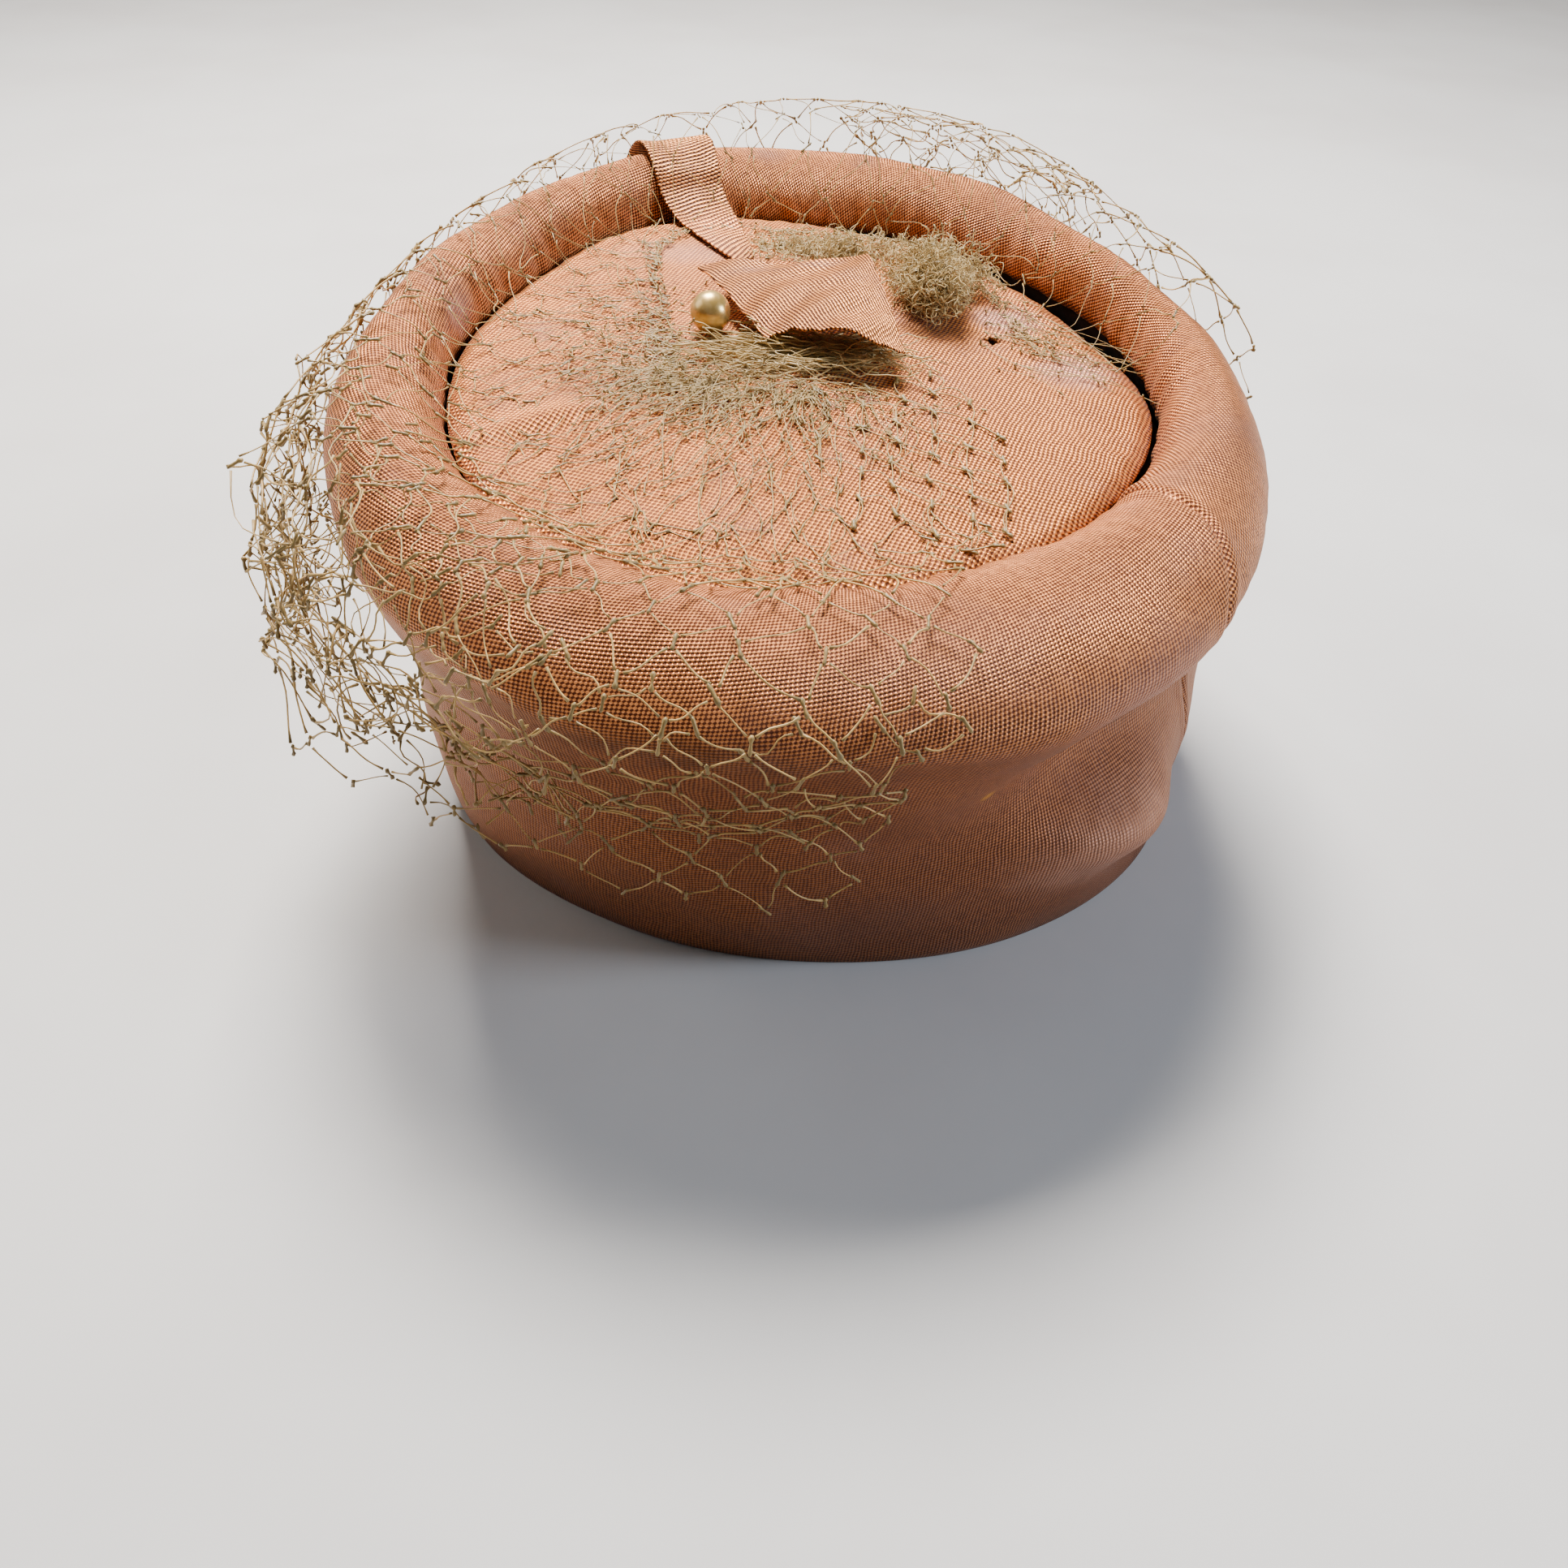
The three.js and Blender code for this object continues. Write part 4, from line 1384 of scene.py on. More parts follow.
@dataclass
class VeilSheet:
    """The surface that the veil lies on, from the bow over the roll to the hem.

    ease scales how far the veil stands off the crown: 1 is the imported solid's own form.
    """

    ease: float = 1.0
    right: float = 352.0
    sweep: float = 346.0
    near_start: float = 0.25
    near_angles: Pair = (300.0, 335.0)
    rise: float = 0.0011
    least: float = 0.0007
    panel_end: float = 0.9
    turns: tuple[float, ...] = (140, 110, 80, 50, 20, -5)
    crest_turn: float = 110.0
    inner_crest: float = 0.75
    hem_shares: tuple[float, ...] = (0.55, 1.0)
    columns: int = 231
    samples: int = 90
    fine_steps: int = 12
    crest_control: int = 5

    def controls(self, angle: Array) -> Array:
        """The points that the veil's path goes through at each angle.

        Args:
            angle: Places round the crown.

        Returns:
            Angles by points by three coordinates.
        """
        names = enumerate(Hang._fields)
        shape = {name: round_table([row[k] for row in DRAPE], angle) for k, name in names}
        crease = FORM.tip_edge(angle, 1.0)
        bow = np.array([*BOW, 0.0])
        path = []
        near = smooth_step(angle, *self.near_angles)
        begin = shape["start"] + (self.near_start - shape["start"]) * near
        for share in (begin, (begin + self.panel_end) / 2, self.panel_end + 0 * begin):
            point = bow + (crease - bow) * share[:, None]
            point[:, 2] = FORM.tip_height(point[:, 0], point[:, 1]) + self.rise
            path.append(point)
        crest = self.least + self.ease * shape["crest"] * FORM.roll_height
        stand = self.least + self.ease * shape["stand"] * FORM.roll_height
        for turn in self.turns:
            share = smooth_step(self.crest_turn - turn, 0, self.crest_turn)
            lift = crest * self.inner_crest if turn > self.crest_turn else crest + (stand - crest) * share
            path.append(FORM.roll(angle, turn, lift))
        top = FORM.roll(angle, FORM.wall_leaves)[:, 2]
        hem = 1 - shape["hem"] * FORM.height / top
        hang = self.least + self.ease * shape["hang"] * FORM.roll_height
        for share in self.hem_shares:
            path.append(FORM.wall_point(angle, hem * share, stand + (hang - stand) * share))
        return np.stack(path, 1)

    def grid(self) -> tuple[Array, Array]:
        """Points of the sheet, evenly spaced down each path, and where each path meets the crest.

        Returns:
            Columns by samples by three coordinates, and the crest's share of each column's length.
        """
        angle = self.right - self.sweep * np.linspace(0, 1, self.columns)
        controls = self.controls(angle)
        first = 2 * controls[:, :1] - controls[:, 1:2]
        last = 2 * controls[:, -1:] - controls[:, -2:-1]
        knots = np.concatenate([first, controls, last], 1)
        gaps = np.sqrt(np.maximum(np.linalg.norm(np.diff(knots, axis=1), axis=-1, keepdims=True), 1e-6))
        fine = []
        s = np.linspace(0, 1, self.fine_steps, endpoint=False)[None, :, None]
        for k in range(1, knots.shape[1] - 2):
            p0, p1, p2, p3 = (knots[:, k + step][:, None, :] for step in (-1, 0, 1, 2))
            d0, d1, d2 = (gaps[:, k + step][:, None, :] for step in (-1, 0, 1))
            t1 = ((p1 - p0) / d0 - (p2 - p0) / (d0 + d1) + (p2 - p1) / d1) * d1
            t2 = ((p2 - p1) / d1 - (p3 - p1) / (d1 + d2) + (p3 - p2) / d2) * d1
            fine.append(
                (2 * s**3 - 3 * s**2 + 1) * p1
                + (s**3 - 2 * s**2 + s) * t1
                + (3 * s**2 - 2 * s**3) * p2
                + (s**3 - s**2) * t2
            )
        line = np.concatenate([*fine, controls[:, -1:]], 1)
        steps = np.linalg.norm(np.diff(line, axis=1), axis=-1)
        length = np.concatenate([np.zeros((len(line), 1)), np.cumsum(steps, axis=1)], 1)
        result = np.empty((self.columns, self.samples, 3))
        for column in range(self.columns):
            even = np.linspace(0, length[column, -1], self.samples)
            for axis in range(3):
                result[column, :, axis] = np.interp(even, length[column], line[column, :, axis])
        return result, length[:, self.crest_control * self.fine_steps] / length[:, -1]


class Sheet:
    """A looked-up surface over u and v from 0 to 1, with its normals.

    Past the hem it goes straight on, up to beyond times its length.
    """

    beyond: float = 1.3

    def __init__(self, form: VeilSheet) -> None:
        """Keeps the form's grid of points and works out its normals."""
        self.grid, self.crest = form.grid()
        self.normals = unit(np.cross(np.gradient(self.grid, axis=1), np.gradient(self.grid, axis=0)))

    def look(self, table: Array, u: Array, v: Array) -> Array:
        """Value of a table on the sheet's grid, between its points.

        Args:
            table: One vector for each point of the grid.
            u: Places round the crown.
            v: Places down the veil.

        Returns:
            The vectors there.
        """
        columns, samples = table.shape[:2]
        x = np.clip(u, 0, 1) * (columns - 1)
        y = np.clip(v, 0, self.beyond) * (samples - 1)
        i = np.minimum(x.astype(int), columns - 2)
        j = np.minimum(y.astype(int), samples - 2)
        fx = (x - i)[..., None]
        fy = (y - j)[..., None]
        near = table[i, j] * (1 - fy) + table[i, j + 1] * fy
        far = table[i + 1, j] * (1 - fy) + table[i + 1, j + 1] * fy
        return near * (1 - fx) + far * fx

    def length(self) -> Array:
        """Length of each column's path."""
        return np.linalg.norm(np.diff(self.grid, axis=1), axis=-1).sum(1)


@dataclass(frozen=True)
class NetLayer:
    """One layer of the knotted net over a stretch of the veil.

    It runs from right to left between two angles, and between top and hem, which are shares of the
    veil's length. spacing is the angle between knots of a row, and pitch the way from row to row.
    inward brings the layer from the veil's outer form towards the crown. fold and fold_size are the
    height and size of its folds, crumple the random place of each knot, and slack the share by which
    threads are bowed. thread is half a thread's width. Lengths here are millimetres.
    """

    name: str
    right: float
    left: float
    top: float
    hem: float
    spacing: float
    pitch: float
    inward: float
    fold: float
    fold_size: float
    crumple: float
    slack: float
    seed: int
    thread: float = 0.155


class Run(NamedTuple):
    """How a number changes along the veil: from low at start to high at end, eased."""

    start: float
    end: float
    low: float = 0.0
    high: float = 1.0

    def at(self, share: Array) -> Array:
        """The number at a share of the veil's length."""
        return self.low + (self.high - self.low) * smooth_step(share, self.start, self.end)


class Ends(NamedTuple):
    """Places of knots or thread ends: in u and v on the sheet, and each one's own push."""

    u: Array
    v: Array
    push: Array

    def pick(self, rows: Array, columns: Array, nudge: float = 0.0, drop: float = 0.0) -> "Ends":
        """Some of the knots, moved on the sheet by a nudge in u and a drop in v."""
        return Ends(self.u[rows, columns] + nudge, self.v[rows, columns] + drop, self.push[rows, columns])

    @staticmethod
    def join(parts: list["Ends"]) -> "Ends":
        """All places of several sets."""
        return Ends(*(np.concatenate([part[k] for part in parts]) for k in range(3)))


@dataclass
class NetVeil:
    """The veil's threads and knots, layer by layer."""

    outer: Sheet
    inner: Sheet
    form: VeilSheet
    wild_places: tuple[Pair, ...] = ((204.0, 31.0), (62.0, 16.0))
    steps: int = 7
    rows_up: int = 16
    rows_down: int = 12
    knot_length: float = 0.0020
    knot_radius: float = 0.00046
    packed_from: float = 0.7
    knot_legs: float = 1.9
    knot_places: tuple[float, ...] = (-1.2, -0.85, -0.3, 0.3, 0.85, 1.2)
    knot_swell: tuple[float, ...] = (0.45, 1.0, 0.62, 0.62, 1.0, 0.45)
    knot_lean: float = 0.25
    back_stretch: float = 0.35
    back_at: float = 100.0
    back_reach: float = 45.0
    uneven: float = 0.09
    least_fold: float = 0.15 * MM
    loose_aside: float = 0.0045
    down_uneven: float = 0.08
    loose_down: float = 0.30
    wildness: float = 2.6
    inward_pull: float = 1.6
    wave_share: float = 0.5
    lift_share: float = 0.6
    folded: Run = Run(0.42, 0.85)
    loose: Run = Run(0.35, 0.60, 1.0, 0.0)
    crumpled: Run = Run(0.45, 0.75)
    full_thread: Run = Run(0.25, 0.5, 0.62, 1.0)
    full_knot: Run = Run(0.3, 0.5, 0.6, 1.0)

    def surface(self, layer: NetLayer, u: Array, v: Array) -> tuple[Array, Array]:
        """Points of a layer's folded surface, and the directions out of it.

        Args:
            layer: The layer.
            u: Places round the crown, from 0 to 1.
            v: Places down the veil, from 0 to 1.

        Returns:
            The points and the directions.
        """
        outer = self.outer.look(self.outer.grid, u, v)
        inner = self.inner.look(self.inner.grid, u, v)
        normal = self.outer.look(self.outer.normals, u, v)
        place = outer + (inner - outer) * layer.inward
        size = layer.fold * MM * self.folded.at(v) + self.least_fold
        fold = size * np.clip(waves(place / (layer.fold_size * MM), layer.seed), -1, 1)
        return place + normal * fold[..., None], normal

    @staticmethod
    def along(table: Array, u: Array) -> Array:
        """Value of a table of the sheet's columns at each u."""
        return np.interp(u, np.linspace(0, 1, len(table)), table)

    def knots(self, layer: NetLayer, dice: Dice) -> tuple[Ends, Array]:
        """Places of the knots by row and column, and which of them the cut net keeps.

        Args:
            layer: The layer.
            dice: Random numbers.

        Returns:
            The places, and True for each knot that is kept.
        """
        rows = np.arange(-self.rows_up, self.rows_down)[:, None]
        columns = np.arange(0, 1 + round((layer.right - layer.left) / layer.spacing))[None, :]
        angle = layer.right - layer.spacing * (columns + 0.5 * (rows % 2))
        angle = angle + dice.normal(size=angle.shape) * self.uneven * layer.spacing
        u = (self.form.right - angle) / self.form.sweep
        length = self.along(self.outer.length(), u)
        crest = self.along(self.outer.crest, u)
        behind = np.exp(-(((angle - self.back_at) / self.back_reach) ** 2))
        pitch = layer.pitch * MM * (1 + self.back_stretch * behind)
        reach = np.abs(rows) * pitch / (crest * length)
        packed = 1 - self.packed_from
        late = self.packed_from + packed * (1 - np.exp(-(reach - self.packed_from) / packed))
        above = crest * (1 - np.where(reach < self.packed_from, reach, late))
        v = np.where(rows < 0, above, crest + rows * pitch / length)
        loose = self.loose.at(v)
        u = u + dice.normal(size=u.shape) * self.loose_aside * loose
        reach = self.down_uneven + self.loose_down * loose
        v = v + dice.normal(size=v.shape) * reach * layer.pitch * MM / length.mean()
        wild = sum(np.exp(-(((angle - at) / width) ** 2)) for at, width in self.wild_places)
        size = layer.crumple * MM * (1 + self.wildness * wild) * self.crumpled.at(v)
        push = dice.normal(size=(*v.shape, 3)) * size[..., None]
        normal = self.outer.look(self.outer.normals, u, v)
        outward = np.maximum(0, (push * normal).sum(-1, keepdims=True))
        kept = (angle < np.interp(v, NET_EDGE_DOWN, NET_EDGE_ANGLES)) & (angle > layer.left)
        kept &= (v > layer.top) & (v < layer.hem + np.interp(angle, NET_HEM_ANGLES, NET_HEM_EXTRA))
        return Ends(u, v, push - self.inward_pull * outward * normal), kept

    def strands(self, layer: NetLayer, start: Ends, end: Ends, dice: Dice) -> tuple[Array, Array]:
        """Paths of threads between two sets of knots, each bowed by its slack.

        Args:
            layer: The layer.
            start: The threads' first ends.
            end: Their last ends.
            dice: Random numbers.

        Returns:
            The paths, and one direction out of the veil for each.
        """
        share = np.linspace(0, 1, self.steps)
        u = start.u[:, None] + (end.u - start.u)[:, None] * share
        v = start.v[:, None] + (end.v - start.v)[:, None] * share
        base, normal = self.surface(layer, u, v)
        blend = share[None, :, None]
        path = base + start.push[:, None, :] * (1 - blend) + end.push[:, None, :] * blend
        span = np.linalg.norm(path[:, -1] - path[:, 0], axis=-1, keepdims=True)
        middle = normal[:, self.steps // 2]
        side = unit(np.cross(unit(path[:, -1] - path[:, 0]), middle))
        count = (len(start.u), 1)
        bow = np.sin(np.pi * share)[None, :]
        across = dice.normal(size=count) * bow
        across = across + self.wave_share * dice.normal(size=count) * np.sin(2 * np.pi * share)[None, :]
        lifted = self.lift_share * np.abs(dice.normal(size=count)) * bow
        path = path + side[:, None, :] * (across * span * layer.slack)[..., None]
        return path + normal * (lifted * span * layer.slack)[..., None], middle

    def add_layer(self, tubes: Tubes, layer: NetLayer) -> None:
        """Adds a layer's threads and knots to the strands.

        Args:
            tubes: The strands.
            layer: The layer.
        """
        dice = np.random.default_rng(layer.seed + 1)
        knots, kept = self.knots(layer, dice)
        rows, columns = kept.shape
        half = 0.5 * self.knot_length / float(self.outer.length().mean())
        aside = 0.35 * self.knot_length / (np.radians(self.form.sweep) * FORM.width / 2)
        starts, ends = [], []
        for row in range(rows - 1):
            for step in (0, 1):
                other = np.arange(columns) + (step if (row - self.rows_up) % 2 else step - 1)
                inside = (other >= 0) & (other < columns)
                joined = inside & kept[row] & kept[row + 1, np.clip(other, 0, columns - 1)]
                near = np.nonzero(joined)[0]
                way = aside if step else -aside
                starts.append(knots.pick(np.full(near.shape, row), near, way, half))
                ends.append(knots.pick(np.full(near.shape, row + 1), other[near], -way, -half))
        start, end = Ends.join(starts), Ends.join(ends)
        paths, normals = self.strands(layer, start, end, dice)
        shape = (len(paths), 1)
        middle = (start.v + end.v)[:, None] / 2
        radii = layer.thread * MM * self.full_thread.at(middle) * dice.uniform(0.75, 1.25, shape)
        radii = radii * np.ones((1, self.steps))
        radii[:, [0, -1]] *= self.knot_legs
        tones = dice.uniform(0, 0.35, shape) * np.ones((1, self.steps))
        tones[:, [0, -1]] += 0.5
        tubes.add(paths, radii, normals, tones)
        some = np.nonzero(kept)
        self.add_knots(tubes, layer, knots.pick(*some), half, dice)

    def add_knots(self, tubes: Tubes, layer: NetLayer, knots: Ends, half: float, dice: Dice) -> None:
        """Adds the lumpy knots, waisted and long in the net's own direction.

        Args:
            tubes: The strands.
            layer: The layer.
            knots: The knots' places.
            half: Half of a knot's length, as a share of the veil's.
            dice: Random numbers.
        """
        u, v, push = knots
        share = np.array(self.knot_places)
        shape = (len(u), len(share))
        path, normals = self.surface(layer, u[:, None] + 0 * share, v[:, None] + share * half)
        path = path + push[:, None, :]
        side = unit(np.cross(normals[:, 2], path[:, -1] - path[:, 0]))
        lean = dice.normal(size=(len(u), 1)) * self.knot_lean * self.knot_length * share[None, :]
        path = path + side[:, None, :] * lean[..., None]
        radii = self.knot_radius * np.array(self.knot_swell) * dice.uniform(0.7, 1.25, shape)
        radii = radii * self.full_knot.at(v)[:, None]
        tones = np.ones(shape) * dice.uniform(0.6, 1.0, (len(u), 1))
        tubes.add(path, radii, normals[:, 2], tones)

    def build(self, name: str, layers: tuple[NetLayer, ...], finish: Material) -> Piece:
        """Builds one piece from some layers.

        Args:
            name: The piece's name.
            layers: Its layers of net.
            finish: Its finish.

        Returns:
            The piece.
        """
        tubes = Tubes(4)
        for layer in layers:
            self.add_layer(tubes, layer)
        return tubes.build(name, finish)


@dataclass
class Ribbons:
    """The strap that comes over the roll and the bow's free leaf.

    strap_stops has the strap's turn on the roll, its slide to one side, its width and how proud it
    stands. strap_end goes on over the panel, with the way in from the crease in place of the turn.
    leaf_rows has the back edge's and the front edge's place, along and across, and both rises.
    """

    thickness: float = 0.00055
    strap_angle: float = 112.0
    strap_width: float = 0.018
    leaf_length: float = 0.044
    leaf_width: float = 0.038
    leaf_rise: float = 0.006
    leaf_arch: float = 0.18
    leaf_base: float = 0.00445
    strap_length: float = 0.068
    strap_samples: tuple[int, int] = (90, 25)
    leaf_samples: tuple[int, int] = (70, 48)
    curl: float = 0.35 * MM
    sway: float = 0.18 * MM
    sway_size: float = 0.012
    leaf_sway: float = 0.35 * MM
    leaf_sway_size: float = 0.016
    strap_stops: tuple[tuple[float, ...], ...] = (
        (-8, 0.14, 0.92, 0.03),
        (30, 0.10, 0.98, 0.05),
        (66, 0.04, 1.00, 0.07),
        (96, 0.00, 1.00, 0.08),
        (126, 0.00, 0.96, 0.06),
        (152, -0.02, 0.92, 0.05),
    )
    strap_end: tuple[tuple[float, ...], ...] = (
        (0.30, -0.08, 0.84, 0.05),
        (0.95, -0.10, 0.62, 0.03),
        (1.65, -0.12, 0.30, 0.02),
    )
    leaf_rows: tuple[tuple[float, ...], ...] = (
        (-0.58, 0.50, -0.22, -0.34, 0.06, -0.02),
        (-0.36, 0.52, -0.06, -0.38, 0.30, 0.55),
        (-0.08, 0.48, 0.14, -0.48, 0.40, 0.90),
        (0.16, 0.50, 0.32, -0.50, 0.75, 0.70),
        (0.31, 0.50, 0.45, -0.51, 1.00, 0.25),
    )

    @staticmethod
    def spline(rows: Array, share: Array) -> Array:
        """Values between rows of numbers, smooth and through each row.

        Args:
            rows: The rows.
            share: Places from the first row at 0 to the last at 1.

        Returns:
            The values.
        """
        count = len(rows)
        full = np.concatenate([2 * rows[:1] - rows[1:2], rows, 2 * rows[-1:] - rows[-2:-1]])
        place = share * (count - 1)
        k = np.minimum(place.astype(int), count - 2)
        return between(*(full[k + step] for step in (0, 1, 2, 3)), (place - k)[:, None])

    def sheet(self, name: str, grid: Array, finish: Material, lengths: Pair) -> Piece:
        """A ribbon from a grid of points, with a thickness and cloth coordinates in metres.

        Args:
            name: The piece's name.
            grid: Rows by columns by three coordinates.
            finish: Its finish.
            lengths: Its length along the rows and across them.

        Returns:
            The piece.
        """
        rows, columns = grid.shape[:2]
        faces = []
        for i in range(rows - 1):
            for j in range(columns - 1):
                k = i * columns + j
                faces.append((k, k + columns, k + columns + 1, k + 1))
        piece = mesh_object(name, grid.reshape(-1, 3), faces, finish)
        along, across = np.linspace(0, lengths[0], rows), np.linspace(0, lengths[1], columns)
        pairs = np.stack(np.meshgrid(along, across, indexing="ij"), -1)
        set_uv(piece, pairs.reshape(-1, 2))
        body = piece.modifiers.new("body", "SOLIDIFY")
        body.thickness = self.thickness
        body.offset = 0.0
        round_edge = piece.modifiers.new("soft", "SUBSURF")
        round_edge.levels = 1
        round_edge.render_levels = 1
        apply_modifiers(piece)
        return piece

    def strap(self, finish: Material) -> Piece:
        """The strap, from behind the roll to its narrow end on the panel.

        Args:
            finish: Its finish.

        Returns:
            The piece.
        """
        turn = math.radians(self.strap_angle)
        side = np.array([-math.sin(turn), math.cos(turn), 0.0])
        out = np.array([math.cos(turn), math.sin(turn), 0.0])
        centres, widths = [], []
        for at, slide, wide, proud in self.strap_stops:
            clear = FORM.seat_gap + self.thickness / 2 + proud * FORM.roll_height
            point = FORM.roll(np.array(self.strap_angle), float(at), clear)
            centres.append(point + side * slide * self.strap_width)
            widths.append(wide * self.strap_width)
        for reach, slide, wide, lift in self.strap_end:
            point = FORM.tip_edge(np.array(self.strap_angle), 1.0) - out * reach * self.strap_width
            point = point + side * slide * self.strap_width
            clear = FORM.seat_gap + self.thickness / 2 + lift * FORM.roll_radius
            point[2] = float(FORM.tip_height(point[0], point[1])) + clear
            centres.append(point)
            widths.append(wide * self.strap_width)
        share = np.linspace(0, 1, self.strap_samples[0])
        middle = self.spline(np.array(centres), share)
        wide = self.spline(np.array(widths)[:, None], share)
        across = np.linspace(0.5, -0.5, self.strap_samples[1])
        frayed = 1 + 0.018 * waves(share[:, None] / 0.03, 21)[:, None]
        grid = middle[:, None, :] + side * (across[None, :, None] * (wide * frayed)[:, None, :])
        curl = self.curl * (2 * np.abs(across)) ** 3
        grid[..., 2] += curl[None, :] + self.sway * waves(grid[..., :2] / self.sway_size, 22)
        return self.sheet("strap_ribbon", grid, finish, (self.strap_length, self.strap_width))

    def leaf(self, finish: Material) -> Piece:
        """The free leaf, twisted, lifted and ragged along its front edge.

        Args:
            finish: Its finish.

        Returns:
            The piece.
        """
        long, wide = self.leaf_samples
        back_x, back_y, front_x, front_y, back_lift, front_lift = np.array(self.leaf_rows).T
        edges = []
        for along, across, lift in ((front_x, front_y, front_lift), (back_x, back_y, back_lift)):
            x = BOW[0] + along * self.leaf_length
            y = BOW[1] + across * self.leaf_width
            z = FORM.tip_height(x, y) + self.leaf_base + lift * self.leaf_rise
            edges.append(self.spline(np.stack([x, y, z], -1), np.linspace(0, 1, long)))
        front, back = edges
        share = np.linspace(0, 1, wide)
        ragged = 0.012 * waves(np.linspace(0, 7, long)[:, None], 31)
        ragged = ragged + 0.005 * waves(np.linspace(0, 31, long)[:, None], 32)
        start = share[None, :] + ragged[:, None] * (1 - share[None, :]) ** 6
        grid = front[:, None, :] * (1 - start[..., None]) + back[:, None, :] * start[..., None]
        grid[..., 2] += self.leaf_arch * self.leaf_rise * np.sin(np.pi * share)[None, :]
        grid[..., 2] += self.leaf_sway * waves(grid[..., :2] / self.leaf_sway_size, 33)
        grid = grid[::-1, ::-1]
        return self.sheet("leaf_ribbon", grid, finish, (self.leaf_length, self.leaf_width))


@dataclass(frozen=True)
class Bunch:
    """A clump of crinkled net strands: its box about the hat's own origin, count, way and thread."""

    low: Place
    high: Place
    count: int
    way: Place
    thread: float
    stride: float
    seed: int


@dataclass(frozen=True)
class OpenNet:
    """A stretch of open net on the panel: its clockwise convex outline, its direction and its mesh."""

    outline_x: tuple[float, ...]
    outline_y: tuple[float, ...]
    turn: float
    spacing: float
    pitch: float
    uneven: float
    thread: float
    knot: float
    seed: int
    reach: int = 12


@dataclass(frozen=True)
class Fan:
    """Loose strands over the top panel: where they start, which way and how far they run."""

    start: Pair
    spread: Pair
    turn_from: float
    turn_to: float
    length: float
    bend: float
    rise: float
    count: int
    seed: int
    thread: float = 0.00007


